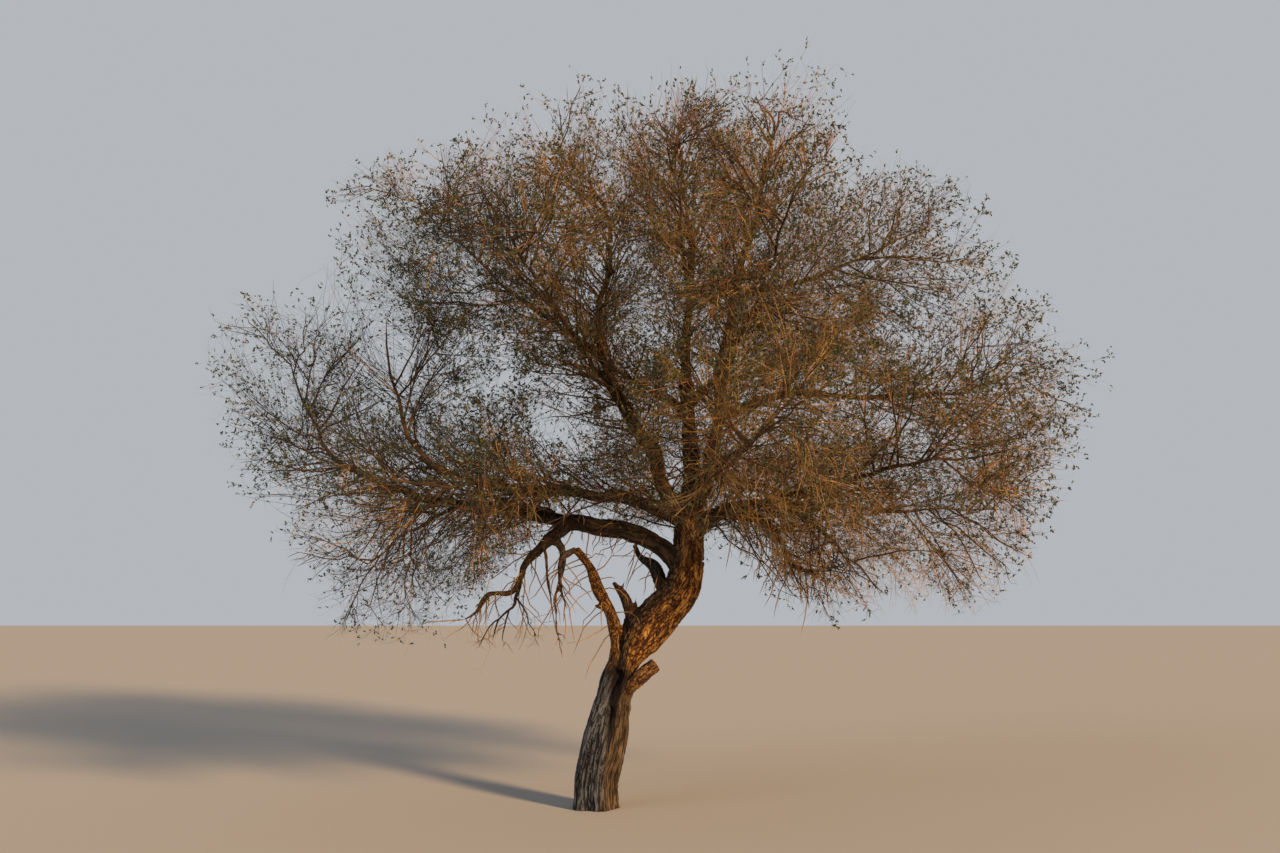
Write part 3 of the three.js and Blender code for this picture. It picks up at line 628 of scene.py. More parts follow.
def fullness(points):
    """How densely the crown is filled at points, from the heart's share to 1 at its rim."""
    rim = rise(outness(points, RIM_MIDDLE, RIM_HALF) ** 0.5, *RIM_RANGE)
    thinner = 1 - TOP_THINNER * rise(points[:, 2], *TOP_RANGE)
    veiled = sum(share * np.exp(-outness(points, middle, half)) for middle, half, share in VEILS)
    return veiled + between(HEART_SHARE, 1, rim) * thinner


CELLS_BEFORE, CELLS_WIDE = 100, 1000


def crowd(points, cell):
    """How many of the points share the cell of each, as the mean of two overlapping grids."""
    total = np.zeros(len(points))
    for offset in (0.0, 0.5):
        x, y, z = np.floor(points / cell + offset).astype(np.int64).T + CELLS_BEFORE
        _, place, count = np.unique((x * CELLS_WIDE + y) * CELLS_WIDE + z,
                                    return_inverse=True, return_counts=True)
        total += count[place] / 2
    return total


# How far twigs may stand out past the box of the solids, and how high above the ground they all end
PROUD = 130.0
box_low = np.array(cad_box[0]) / MM - PROUD
box_high = np.array(cad_box[1]) / MM + PROUD
GROUND_CLEAR = 900.0


def in_box(points):
    inside = np.all((points > box_low) & (points < box_high), -1) & (points[..., 2] > GROUND_CLEAR)
    return inside.all(-1)


def grow(parents, rule, order, lift=None):
    """Side shoots of many parents by one row of the rule, less those that don't fit.

    Each parent gets its share of the shoots that its part of the crown has room for."""
    lift = parents.lift if lift is None else np.full(len(parents), float(lift))
    middle = parents.points.mean(1)
    due = rule["density"] * (rule["cell"] * MM) ** 3 * fullness(middle) / crowd(middle, rule["cell"])
    due = np.clip(due, rule["fewest"], rule["most"])
    due = np.where(parents.mass == BARE_MASS, due * BARE_SHARE, due)
    broods = []
    for index in range(rule["most"]):
        having = index + chance(parents.seed, ROOM_DRAW + order) < due
        hosts = parents.pick(having)
        if not len(hosts):
            continue
        bend = lift[having]
        start, direction, length, seed, thick = side_shoots(
            hosts, index + rule.get("first", 0), rule, bend)
        if order <= SOLID_ORDERS:
            length = np.minimum(length, REACH_SHARE * ellipsoid_reach(hosts.mass, start, direction))
        points = lay_lines(start, direction, length, seed, bend, rule)
        for _ in range(rule.get("trims", 0)):
            length = np.where(depth_in_outline(points[:, -1]) < 0, length * PAST_SHARE, length)
            points = lay_lines(start, direction, length, seed, bend, rule)
        fits = ~past_outline(points[:, -1], seed, rule.get("past", 0.0))
        fits &= (length > rule["shortest"]) & in_box(points) & in_crown(points[:, -1])
        fits &= ~in_opening(points[:, -1], seed) & ~in_opening(points[:, 0], seed)
        brood = Shoots(order, points=points, length=length, seed=seed, thick=thick,
                       mass=hosts.mass, lift=bend, tint=hosts.tint)
        broods.append(brood.pick(fits))
    return broods[0].joined(*broods[1:])


def grow_stems():
    rows = [stem_of(index, row) for index, row in enumerate(MASSES)]
    numbers = np.arange(len(rows))
    return Shoots(
        0, points=np.array([row[0] for row in rows]), length=np.array([row[1] for row in rows]),
        seed=seed_of(np.full(len(rows), STEM_SEED), numbers),
        thick=np.array([(row[2], ORDERS[0]["thick"][1]) for row in rows], float),
        mass=numbers, lift=mass_lift.copy(), tint=np.zeros(len(rows), int))


SMOOTH_STEPS = 3
BEND_SCALE = 95.0
BEND_START = 3
STEM_CROOK, BRANCH_CROOK, SHOOT_CROOK = 40.0, 34.0, 24.0


def crooked(shoots, bend):
    """The same shoots on smooth lines with more points, which bend this way and that from the root."""
    bent = shoots.pick(slice(None))
    points = eased(shoots.points, SMOOTH_STEPS)
    share = np.minimum(np.linspace(0, 1, points.shape[1]) * BEND_START, 1)
    bent.points = points + stray(points / BEND_SCALE, CROOK_SALT) * 2 * bend * share[:, None]
    return bent


stems = crooked(grow_stems(), STEM_CROOK)

# Shoots straight from the limbs and boughs: leafy ones, which fill the heart of the crown, a second
# set of these on the fuller limbs, and dry ones, which hang under the lowest limbs
LEAFY_LIMBS = ["arch_bough_end", "long_left_bough", "left_leader", "centre_leader", "right_leader",
               "crooked_bough", "upper_stem"]
FULLER_LIMBS = ["long_left_bough", "left_leader", "arch_bough_end", "upper_stem"]
DRY_LIMBS = ["arch_bough", "arch_bough_end", "forearm_bough", "forearm_knot", "gnarled_spur",
             "slender_limb_tip", "slender_limb", "crooked_bough", "left_drooping_bough",
             "right_hanging_bough", "front_low_bough", "front_left_low_bough", "front_right_low_bough",
             "hooked_limb", "right_low_bough"]
# Limbs whose dry fringe is denser: each mention here gives one more set of dry shoots
FRINGED_LIMBS = ["crooked_bough", "right_low_bough", "crooked_bough", "right_hanging_bough"]
LEAFY_SHOOT = dict(steps=2, wander=0.2, flow=0.45, thick=(15, 8), spacing=62, first=0.12,
                   length=(420, 900), spread=(35, 75), lift=0.3)
DRY_SHOOT = dict(steps=4, wander=0.5, flow=0.0, thick=(9, 5), spacing=48, first=0.3,
                 length=(160, 480), spread=(50, 85), lift=-0.9)
LAST_PLACE = 0.98
# The most that a shoot's root and tip may measure beside the limb's radius, and its side shoots' lift
LIMB_ROOM = np.array([[1.2], [0.9]])
LIFT_KEPT = 0.5


def nearest_mass(points):
    return np.argmin([outness(points, *mass) for mass in zip(mass_middle, mass_half)], 0)


def grow_from_limb(number, name, rule, tint):
    """Shoots all along one limb, turned round it by the golden ratio."""
    points, radii = limb_book[name]
    count = int(np.linalg.norm(np.diff(points, axis=0), axis=1).sum() / rule["spacing"])
    order = np.arange(count)
    seed = seed_of(np.full(count, LIMB_SEED + number), order)
    first = rule["first"]
    fraction = first + (LAST_PLACE - first) * (order + chance(seed, LEAF_DRAW)) / count
    start = point_along(points, fraction)
    onward = heading_along(points, fraction)
    from_heart = unit(start - HEART_MIDDLE)
    square = unit(np.cross(onward, unit(from_heart + UP)))
    angle = 2 * np.pi * ((order * GOLDEN_SHARE) % 1)[:, None]
    outward = square * np.cos(angle) + np.cross(onward, square) * np.sin(angle)
    spread = between(*np.radians(rule["spread"]), chance(seed, SPREAD_DRAW))[:, None]
    direction = onward * np.cos(spread) + outward * np.sin(spread) + from_heart * rule["flow"]
    lift = np.full(count, rule["lift"])
    length = between(*rule["length"], chance(seed, LENGTH_DRAW))
    lines = lay_lines(start, unit(lift_rows(direction, lift * SIDE_LIFT)), length, seed, lift, rule)
    thick = np.minimum([rule["thick"]], (along(radii, fraction) * LIMB_ROOM).T)
    grown = Shoots(1, points=lines, length=length, seed=seed, thick=thick, lift=lift * LIFT_KEPT,
                   mass=nearest_mass(lines[:, -1]), tint=np.full(count, tint))
    fits = in_box(lines) & (depth_in_outline(lines[:, -1]) > 0)
    if rule is LEAFY_SHOOT:
        fits &= in_crown(lines[:, -1]) & ~in_opening(lines[:, -1], seed)
    return grown.pick(fits)


def limb_shoots(names, rule, tint, first_number):
    groups = [grow_from_limb(first_number + number, name, rule, tint) for number, name in enumerate(names)]
    return groups[0].joined(*groups[1:])


bough_names = [name for name in limb_book if name.endswith("_bough")
               and name not in LEAFY_LIMBS + ["forearm_bough", "arch_bough"]]
branches = crooked(grow(stems, ORDERS[1], 1), BRANCH_CROOK)
branches = branches.joined(
    crooked(limb_shoots(LEAFY_LIMBS + bough_names, LEAFY_SHOOT, 0, 0), BRANCH_CROOK),
    crooked(limb_shoots(FULLER_LIMBS, LEAFY_SHOOT, 0, 60), BRANCH_CROOK))

# Colours dealt out by spray. Each twig of the second order takes one, by its place in the crown and
# by chance, and all that grows on it keeps it.
GOLDEN, REDDISH, GREYISH, STRAW = range(4)
TINT_NAMES = ["golden", "reddish", "greyish", "straw"]
TINT_HIGH = (3950.0, 4650.0)
TINT_LOW = (2250.0, 1550.0)
TINT_LEFT = (-300.0, -1000.0)
TINT_BEHIND = (0.0, 1500.0)
# The weight of each colour in the middle of the crown, and what its sides change in these: more
# greyish and less golden to the left and more greyish behind, as painted shade, and more reddish and
# less golden high up, as painted warm light
GOLDEN_WEIGHT, REDDISH_WEIGHT, GREYISH_WEIGHT, STRAW_WEIGHT = 0.5, 0.1, 0.25, 0.2
GOLDEN_LEFT, GOLDEN_HIGH = 0.8, 0.35
REDDISH_HIGH = 0.7
GREYISH_LEFT, GREYISH_BEHIND = 1.2, 0.3
STRAW_LEFT, STRAW_LOW, STRAW_LOW_LEFT = 0.16, 0.6, 0.6


def drawn_from(weights, seeds):
    """One of several kinds for each seed, dealt out by their weights at its place."""
    weights = np.stack(np.broadcast_arrays(*weights), 1)
    shares = np.cumsum(weights / weights.sum(1, keepdims=True), 1)
    return (chance(seeds, TINT_DRAW)[:, None] > shares[:, :-1]).sum(1)


def tint_of(shoots):
    """The colour of each shoot: reddish and golden high up as painted warm light, greyish to the left and
    behind as painted shade, straw low down.
    """
    middle = shoots.points.mean(1)
    high = rise(middle[:, 2], *TINT_HIGH)
    low = rise(middle[:, 2], *TINT_LOW)
    left = rise(middle[:, 0], *TINT_LEFT) * (1 - high)
    behind = rise(middle[:, 1], *TINT_BEHIND)
    tint = drawn_from([
        GOLDEN_WEIGHT * (1 - left * GOLDEN_LEFT) * (1 - high * GOLDEN_HIGH),
        REDDISH_WEIGHT + REDDISH_HIGH * high,
        GREYISH_WEIGHT + GREYISH_LEFT * left + GREYISH_BEHIND * behind,
        STRAW_WEIGHT - STRAW_LEFT * left + STRAW_LOW * low * (1 - left * STRAW_LOW_LEFT),
    ], shoots.seed)
    return np.where(shoots.mass == BARE_MASS, STRAW, tint)


# Long shoots that spring from the others near the crown's outline and stand out to it
RIM = dict(steps=2, thick=(11, 7), share=1.9, spread=(8, 36), wander=0.2, flow=0.7,
           shortest=140, fewest=0, most=4, density=110.0, cell=500.0, first=20, trims=3)
RIM_DEPTH = 130.0
RIM_LIFT = 0.15

shoots = crooked(grow(branches, ORDERS[2], 2), SHOOT_CROOK)
near_rim = shoots.pick(depth_in_outline(shoots.points[:, -1]) < RIM_DEPTH)
rim = grow(near_rim, RIM, 7, RIM_LIFT)
rim.points = crooked(rim, SHOOT_CROOK).points[:, ::2]
shoots = shoots.joined(rim)
shoots.tint = tint_of(shoots)
twigs = grow(shoots, ORDERS[3], 3)
twiglets = grow(twigs, ORDERS[4], 4)

# Long thin whips that stand up from the top and the left of the crown, and dry twigs that hang
# under it
WHIP = dict(steps=3, thick=(6.4, 3), share=1.5, spread=(6, 26), wander=0.1, flow=0.1,
            shortest=150, fewest=0, most=2, density=80.0, cell=500.0, first=30, past=40.0)
WHIP_LIFT = 0.55
WHIP_ABOVE = 4000.0
WHIP_LEFT_OF, WHIP_LEFT_ABOVE = -1500, 2800
WHIP_TWIG = dict(steps=1, thick=(6, 4), share=0.2, spread=(16, 46), wander=0.2, flow=0.0,
                 shortest=30, fewest=4, most=6, density=1.0, cell=500.0, first=60, past=40.0)
HANGER = dict(steps=4, thick=(7, 3), share=1.3, spread=(20, 60), wander=0.3, flow=0.1,
              shortest=120, fewest=0, most=2, density=40.0, cell=500.0, first=40, past=30.0)
HANGER_LIFT = -0.9
HANGER_BELOW = 2350.0
DRY_TWIG = dict(steps=2, thick=(5.5, 3), share=0.5, spread=(20, 65), wander=0.5, flow=0.0,
                shortest=40, fewest=3, most=4, density=1.0, cell=500.0, first=50, past=20.0)
DRY_TWIG_LIFT, HANGER_TWIG_LIFT = -0.3, -0.2

across_tip, _, tip_height = shoots.points[:, -1].T
high_shoots = shoots.pick((tip_height > WHIP_ABOVE)
                          | ((across_tip < WHIP_LEFT_OF) & (tip_height > WHIP_LEFT_ABOVE)))
whips = grow(high_shoots, WHIP, 5, WHIP_LIFT)
hangers = grow(shoots.pick(tip_height < HANGER_BELOW), HANGER, 5, HANGER_LIFT)
hangers.tint[:] = STRAW
dry_shoots = limb_shoots(DRY_LIMBS + FRINGED_LIMBS, DRY_SHOOT, STRAW, 100)
dry_twigs = grow(dry_shoots, DRY_TWIG, 6, DRY_TWIG_LIFT)
whip_twigs = grow(whips, WHIP_TWIG, 6)
hanger_twigs = grow(hangers, DRY_TWIG, 6, HANGER_TWIG_LIFT)


def add_object(name, data):
    thing = bpy.data.objects.new(name, data)
    bpy.context.scene.collection.objects.link(thing)
    return thing


def made_plain(piece):
    """The same object with what its modifier makes as its own mesh."""
    graph = bpy.context.evaluated_depsgraph_get()
    mesh = bpy.data.meshes.new_from_object(piece.evaluated_get(graph))
    piece.modifiers.clear()
    piece.data = mesh
    mesh.name = piece.name
    return piece


def read_rows(mesh, field):
    rows = np.empty(len(mesh.vertices) * 3, np.float32)
    mesh.vertices.foreach_get(field, rows)
    return rows.reshape(-1, 3).astype(float)


def write_spots(mesh, spots):
    mesh.vertices.foreach_set("co", (spots * MM).astype(np.float32).ravel())
    mesh.update()


def note_values(mesh, name, values):
    """Keeps a number or a vector for each corner of a mesh, under a name that node trees can read."""
    kind, field = ("FLOAT", "value") if values.ndim == 1 else ("FLOAT_VECTOR", "vector")
    layer = mesh.attributes.new(name, kind, "POINT")
    layer.data.foreach_set(field, values.astype(np.float32).ravel())


def mesh_of(name, corners, triangles, smooth=True):
    """A mesh object from an array of corners in millimetres and one of triangles."""
    mesh = bpy.data.meshes.new(name)
    mesh.vertices.add(len(corners))
    mesh.vertices.foreach_set("co", (np.asarray(corners, np.float32) * MM).ravel())
    mesh.loops.add(triangles.size)
    mesh.loops.foreach_set("vertex_index", np.asarray(triangles, np.int32).ravel())
    mesh.polygons.add(len(triangles))
    mesh.polygons.foreach_set("loop_start", np.arange(0, triangles.size, 3, dtype=np.int32))
    mesh.polygons.foreach_set("use_smooth", np.full(len(triangles), smooth))
    mesh.update(calc_edges=True)
    return add_object(name, mesh)


def ring_ways(right, other, sides):
    """Ways out from each point of a line to the corners of the ring round it."""
    angle = (2 * np.pi * np.arange(sides) / sides)[:, None]
    return right[..., None, :] * np.cos(angle) + other[..., None, :] * np.sin(angle)


def tube_faces(rings, sides, tip, root):
    """The triangles of a tube between its rings of corners, then those of its tip and its root."""
    here = np.arange(sides)
    beside = (here + 1) % sides
    faces = []
    for low in range(0, (rings - 1) * sides, sides):
        high = low + sides
        faces.append(np.stack([low + here, high + here, low + beside], 1))
        faces.append(np.stack([low + beside, high + here, high + beside], 1))
    last = (rings - 1) * sides
    faces.append(np.stack([last + here, np.full(sides, tip), last + beside], 1))
    if root is None:
        faces.append(np.stack([np.zeros(sides - 2, int), here[1:-1], here[2:]], 1))
    else:
        faces.append(np.stack([here, beside, np.full(sides, root)], 1))
    return np.concatenate(faces)


def tubes(shoots, sides, tip=1.0):
    """Many tapering tubes at once, closed at the root and pointed at the tip."""
    points, thick = shoots.points, shoots.thick
    count, rings = points.shape[:2]
    radii = between(thick[:, :1], thick[:, 1:] * tip, np.linspace(0, 1, rings)) / 2
    right, other = frames_of(points)
    corners = points[:, :, None] + ring_ways(right, other, sides) * radii[:, :, None, None]
    corners = corners[:, :-1].reshape(count, (rings - 1) * sides, 3)
    corners = np.concatenate([corners, points[:, -1:]], 1)
    faces = tube_faces(rings - 1, sides, (rings - 1) * sides, None)
    triangles = faces[None] + (np.arange(count) * corners.shape[1])[:, None, None]
    return corners.reshape(-1, 3), triangles.reshape(-1, 3)


def merged(parts):
    """Several (corners, triangles) pairs as one."""
    corners, triangles, total = [], [], 0
    for part_corners, part_triangles in parts:
        corners.append(part_corners)
        triangles.append(part_triangles + total)
        total += len(part_corners)
    return np.concatenate(corners), np.concatenate(triangles)


def plates(points, salt):
    """Cracked plates: the distance from the nearest crack, and a number for each plate."""
    base = np.floor(points)
    first = np.full(points.shape[:-1], FAR)
    second = first.copy()
    number = np.zeros_like(first)
    for offset in np.ndindex(3, 3, 3):
        cell = base + np.array(offset) - 1
        middle = cell + np.stack([noise_cell(cell, salt + axis) for axis in range(3)], -1)
        distance = np.linalg.norm(points - middle, axis=-1)
        nearer = distance < first
        second = np.where(nearer, first, np.minimum(second, distance))
        number = np.where(nearer, noise_cell(cell, salt + 5), number)
        first = np.where(nearer, distance, first)
    return second - first, number


# Bark pieces: each is a group of limbs swept along smooth lines and grown together, then given its
# relief of plates and furrows
FORK_LIMBS = ["trunk", "great_limb", "upper_stem", "slender_limb", "slender_limb_tip", "dead_snag",
              "broken_stub", "hooked_limb"]
VOXEL_FORK, VOXEL_CROWN = 6.4, 9.0
RING_SPACING = 26.0
LIMB_SIDES, TRUNK_SIDES = 28, 112
# The trunk is slimmer than its solid, most of all at its foot, and a little further to the left
TRUNK_SLIM, FOOT_TRIM, TRUNK_SHIFT = 0.96, 40.0, -12.0
# The great limb narrows to its foot and bows to the upper left, most at a quarter of its length
FOOT_SHARE, FOOT_THICK = 0.3, 0.48
LIMB_BOW, BOW_PEAK = np.array([-26.0, 0.0, 22.0]), 0.105
# The broken stub swells to its root, and its end is hollow: how deep and wide the hollow's rings are
STUB_THICK, STUB_SWELL, STUB_FADE = 1.2, 0.25, 5
HOLLOW_DEPTHS = np.array([0.15, 0.55, 1.0]) * 110.0
HOLLOW_WIDTHS = np.array([1.0, 0.85, 0.45]) * 0.66
# Limbs that are thicker or slimmer here than their rows say
THICKER = {"great_limb": 1.02, "dead_snag": 1.35, "hooked_limb": 1.15, "snag_prong": 1.1,
           "left_leader": 0.85, "centre_leader": 0.78, "right_leader": 0.78}
LIMB_BEND, LIMB_BEND_SCALE = 26.0, 150.0
# Knots stand out more on thin limbs, and each is a few times as long as the limb is thick
KNOTS_THIN, KNOTS_THICK, THIN_LIMB, KNOT_LONG = 0.5, 0.16, 58.0, 2.4


def trunk_outline(angle, share):
    """The trunk's radius beside its mean one, with its flutes and the seam."""
    height = along(trunk_line[:, 2], share)
    radius = TRUNK_SLIM * trunk_radius(height)
    flutes = FLUTE_DEPTH * (FLUTE_FADE - share) * np.cos(
        np.radians(FLUTE_COUNT * angle + FLUTE_TWIST * share))
    across, wide, deep = seam_at(height)
    offset = across - along(trunk_line[:, 0], share)
    facing = -np.degrees(np.arccos(np.clip(offset / radius, -1, 1)))
    turn = (angle - facing + 180) % 360 - 180
    within = np.radians(turn) * radius / wide
    return 1 + flutes - deep / radius * np.exp(-within ** 2)


def swept(line, radii, sides, outline=None, inner=0):
    """One closed tube along a line, whose section may vary round it.

    Where the last inner points of the line turn back into the tube, its tip is hollow."""
    right, other = (np.concatenate([way[0], np.repeat(way[0, -1:], inner, 0)])
                    for way in frames_of(line[None, :len(line) - inner]))
    form = np.ones((len(line), sides))
    if outline is not None:
        degrees = (np.degrees(2 * np.pi * np.arange(sides) / sides) + 180) % 360 - 180
        form = outline(-degrees[None], np.linspace(0, 1, len(line))[:, None])
    radius = (radii[:, None] * form)[..., None]
    corners = (line[:, None] + ring_ways(right, other, sides) * radius).reshape(-1, 3)
    root = len(corners)
    faces = tube_faces(len(line), sides, root + 1, root)
    return np.concatenate([corners, line[:1], line[-1:]]), faces


def limb_line(name):
    """The smooth line of a limb and its radius at each point, close enough together for its bark."""
    points, radii = limb_book[name]
    per_step = max(int(np.linalg.norm(points[1] - points[0]) / RING_SPACING), 2)
    line = eased(points[None], per_step)[0]
    if name not in FORK_LIMBS:
        share = np.minimum(np.linspace(0, BEND_START, len(line)), 1)[:, None]
        line = line + stray(line / LIMB_BEND_SCALE, LIMB_SALT) * 2 * LIMB_BEND * share
    radius = np.interp(np.linspace(0, len(points) - 1, len(line)), np.arange(len(points)), radii)
    if name == "trunk":
        radius = TRUNK_SLIM * trunk_radius(line[:, 2])
        radius -= FOOT_TRIM * np.exp(-line[:, 2] / FLARE_HEIGHT)
        line[:, 0] += TRUNK_SHIFT
    if name == "great_limb":
        share = np.linspace(0, 1, len(line))[:, None]
        line = line + share * (1 - share) ** 3 / BOW_PEAK * LIMB_BOW
    return line, radius


def foot_outline(angle, share):
    """The great limb's radius beside its mean one: seen from the front it narrows to its foot."""
    up = rise(share, 0, FOOT_SHARE)
    narrow = FOOT_THICK + (1 - FOOT_THICK) * up * up * (3 - 2 * up)
    return 1 / np.hypot(np.cos(np.radians(angle)) / narrow, np.sin(np.radians(angle)))


def swept_limb(name):
    line, radius = limb_line(name)
    if name == "trunk":
        return swept(line, radius, TRUNK_SIDES, trunk_outline)
    if name == "broken_stub":
        radius = radius * (STUB_THICK + STUB_SWELL * np.exp(-np.linspace(0, STUB_FADE, len(line))))
        hollow = line[-1] - heading_along(line, 1) * HOLLOW_DEPTHS[:, None]
        radius = np.concatenate([radius, radius[-1] * HOLLOW_WIDTHS])
        return swept(np.concatenate([line, hollow]), radius, LIMB_SIDES, inner=len(hollow))
    knots = KNOTS_THIN if radius.mean() < THIN_LIMB else KNOTS_THICK
    lumps = cloud(line / (radius.mean() * KNOT_LONG), len(name)) - 0.5
    radius = radius * (THICKER.get(name, 1) * (1 + knots * lumps))
    return swept(line, radius, LIMB_SIDES, foot_outline if name == "great_limb" else None)


def grown_together(name, limbs, voxel):
    """The limbs' tubes as one closed skin of even small faces."""
    piece = mesh_of(name, *merged([swept_limb(limb) for limb in limbs]))
    remesh = piece.modifiers.new("skin", "REMESH")
    remesh.mode = "VOXEL"
    remesh.voxel_size = voxel * MM
    return made_plain(piece)


def limb_places(spots, limbs):
    """For each spot the two nearest limbs: how near, how far along and round each, and its radius."""
    count = len(spots)
    best = np.full((2, count), FAR)
    places = np.zeros((2, count, 4))
    for number, name in enumerate(limbs):
        line, radius = limb_line(name)
        line, radius = line[::2], radius[::2]
        right, other = (way[0] for way in frames_of(line[None]))
        lengths = np.concatenate([[0], np.cumsum(np.linalg.norm(np.diff(line, axis=0), axis=1))])
        near = np.full(count, FAR)
        place = np.zeros((count, 4))
        for step in range(len(line) - 1):
            run = line[step + 1] - line[step]
            square = run @ run
            share = np.clip((spots - line[step]) @ run / square, 0, 1)
            offset = spots - line[step] - share[:, None] * run
            radius_here = between(radius[step], radius[step + 1], share)
            score = np.linalg.norm(offset, axis=1) / radius_here
            closer = score < near
            near[closer] = score[closer]
            turn = np.arctan2(offset @ other[step], offset @ right[step])
            length = lengths[step] + share * math.sqrt(square)
            place[closer] = np.stack([length, turn, radius_here, np.full(count, number)], 1)[closer]
        first = near < best[0]
        second = ~first & (near < best[1])
        best[1] = np.where(first, best[0], np.where(second, near, best[1]))
        places[1] = np.where(first[:, None], places[0], np.where(second[:, None], place, places[1]))
        best[0] = np.where(first, near, best[0])
        places[0] = np.where(first[:, None], place, places[0])
    return best, places


# Kinds of bark by limb: flaking plates, long furrows, and the bare fibres of weathered or dead wood.
# Each has a coarse and a fine pattern, both with their width round the limb and length along it in
# millimetres, and the share of the coarse one in the relief.
BARK = {
    "plates": ((38.0, 170.0), (17.0, 46.0), 0.3),
    "furrows": ((20.0, 200.0), (10.0, 70.0), 0.6),
    "fibres": ((34.0, 300.0), (9.0, 90.0), 0.35),
}
FURROW_EDGE, FURROW_FINE, FURROW_FINER = 0.36, 0.35, 2.1
CRACK_EDGE = 0.3
LIMBS_APART = 17
# Patterns are as wide as given on limbs from the full radius up, and finer on thinner ones
FULL_RADIUS, FINEST = 75.0, 0.4
STRAY_SCALE, STRAY_REACH = 0.7, 1.6
# The height along the trunk at which its furrows give way to plates
FURROW_TOP = (1010.0, 850.0)


def pattern_spots(place, wide, long):
    length, turn, radius, number = place.T
    finer = np.clip(radius / FULL_RADIUS, FINEST, 1)
    round_it = radius / (wide * finer)
    spots = np.stack([np.cos(turn) * round_it, np.sin(turn) * round_it,
                      length / (long * finer) + number * LIMBS_APART], 1)
    return spots + stray(spots * STRAY_SCALE, PATTERN_SALT) * STRAY_REACH


def furrows(place, wide, long):
    """Long ridges with narrow furrows between them, from 0 in a furrow to 1 on a ridge."""
    spots = pattern_spots(place, wide, long)
    wave = (1 - FURROW_FINE) * cloud(spots, FURROW_SALT)
    wave += FURROW_FINE * cloud(spots * FURROW_FINER, FURROW_SALT + 1)
    return rise(np.abs(2 * wave - 1), 0, FURROW_EDGE)


def flakes(place, wide, long):
    """Flaking plates of uneven height between narrow cracks."""
    crack, plate = plates(pattern_spots(place, wide, long), PLATE_SALT)
    return rise(crack, 0, CRACK_EDGE) * (0.5 + 0.5 * plate)


def relief_of(place, kind):
    coarse, fine, share = BARK[kind]
    small = flakes(place, *fine) if kind == "plates" else furrows(place, *fine)
    return share * furrows(place, *coarse) + (1 - share) * small


def bark_height(place, weathered):
    """Relief of bark from 0 in a crack to 1 on a ridge, at places along and round limbs."""
    on_trunk = rise(place[:, 0], *FURROW_TOP) * (place[:, 3] == 0)
    live = between(relief_of(place, "plates"), relief_of(place, "furrows"), on_trunk)
    return between(live, relief_of(place, "fibres"), weathered)


# A painted highlight, reddish gold, on the left strand of the trunk along the edge of its hollow:
# how many seam widths to the seam's side, half its width, and the middle and half of its height
EDGE_OUT, EDGE_WIDE, EDGE_MIDDLE, EDGE_HIGH = 1.05, 11.0, 900.0, 90.0


def lit_edge(spots, place):
    """How strong the painted highlight is along the edge of the trunk's hollow."""
    across, wide, _ = seam_at(spots[:, 2])
    beside = np.exp(-((spots[:, 0] - (across - EDGE_OUT * wide)) / EDGE_WIDE) ** 2)
    within = np.exp(-((spots[:, 2] - EDGE_MIDDLE) / EDGE_HIGH) ** 2) * (place[:, 3] == 0)
    return beside * within * (spots[:, 1] < 0)


# Grey wood: worn wood on the dead limbs, and on the trunk to the left of its seam worn wood darkened
# as painted shade, with an uneven edge
DEAD_LIMBS = ["hooked_limb", "hook_tip", "slender_limb_tip", "forearm_knot"]
DEAD_WORN = 0.7
GREY_FOOT, GREY_EDGE = 30, 40
GREY_PATCH, GREY_STRAY = 90, 1.2
GREY_TOP = (1060, 970)


def grey_wear_and_shade(spots, place, limbs):
    """How far the bark turns to grey wood: worn on the dead limbs, worn and painted in shade on the
    trunk's left.
    """
    dead = np.array([name in DEAD_LIMBS for name in limbs])
    on_trunk = np.array([name == "trunk" for name in limbs])
    number = place[:, 3].astype(int)
    high, across = SEAM.T[:2]
    edge = np.interp(spots[:, 2], [0, *high], [GREY_FOOT, *across])
    uneven = (cloud(spots / GREY_PATCH, GREY_SALT) - 0.5) * GREY_STRAY
    # On the trunk the grey to the left of the seam is worn wood darkened as painted shade
    left = np.clip((edge - spots[:, 0]) / GREY_EDGE + 0.5 + uneven, 0, 1)
    fade = rise(spots[:, 2], *GREY_TOP)
    return np.where(on_trunk[number], left * fade, np.where(dead[number], DEAD_WORN, 0.0))


# How golden the bark is on each limb, partly the warm tone of its plates and partly painted
# sunlight; the rest is brown. The heavy limbs are painted golden on the side that faces the light
# and darker on the other, as painted light and shade.
GOLDEN_LIMBS = {
    "great_limb": 1.0, "slender_limb": 1.0, "slender_knot": 1.0, "gnarled_spur": 1.0, "dead_twig": 1.0,
    "dead_twig_fork": 1.0, "dead_twig_side": 1.0, "slender_limb_tip": 0.8, "long_dead_twig": 0.8,
    "long_dead_twig_fork": 0.8, "broken_stub": 0.6, "left_leader": 0.6, "upper_stem": 0.55,
    "forearm_knot": 0.4, "centre_leader": 0.35, "right_leader": 0.3, "dead_snag": 0.2,
    "snag_splinter": 0.2, "forearm_bough": 0.15,
}
HEAVY_LIMBS = ["great_limb", "upper_stem"]
# The way the painted light on the heavy limbs comes from; then how golden a side square to it is, how fast
# that changes, the size and reach of the noise along its edge, and the least share on the side painted in
# shade
PAINTED_LIGHT_WAY = np.array([0.75, -0.35, -0.6])
SIDE_MIDDLE, SIDE_CHANGE, SIDE_PATCH, SIDE_STRAY = 0.62, 1.3, 120, 0.35
PAINTED_SHADE_SIDE = 0.05
# The seam's painted shade shows at the front of the trunk, up to the fork
SEAM_FRONT = -20.0
SEAM_TOP = (1075, 1025)
SEAM_DARKER = 1.5
SMOOTH_ROUNDS, SMOOTH_PULL = 7, 0.6
LIMB_BLEND = 0.25
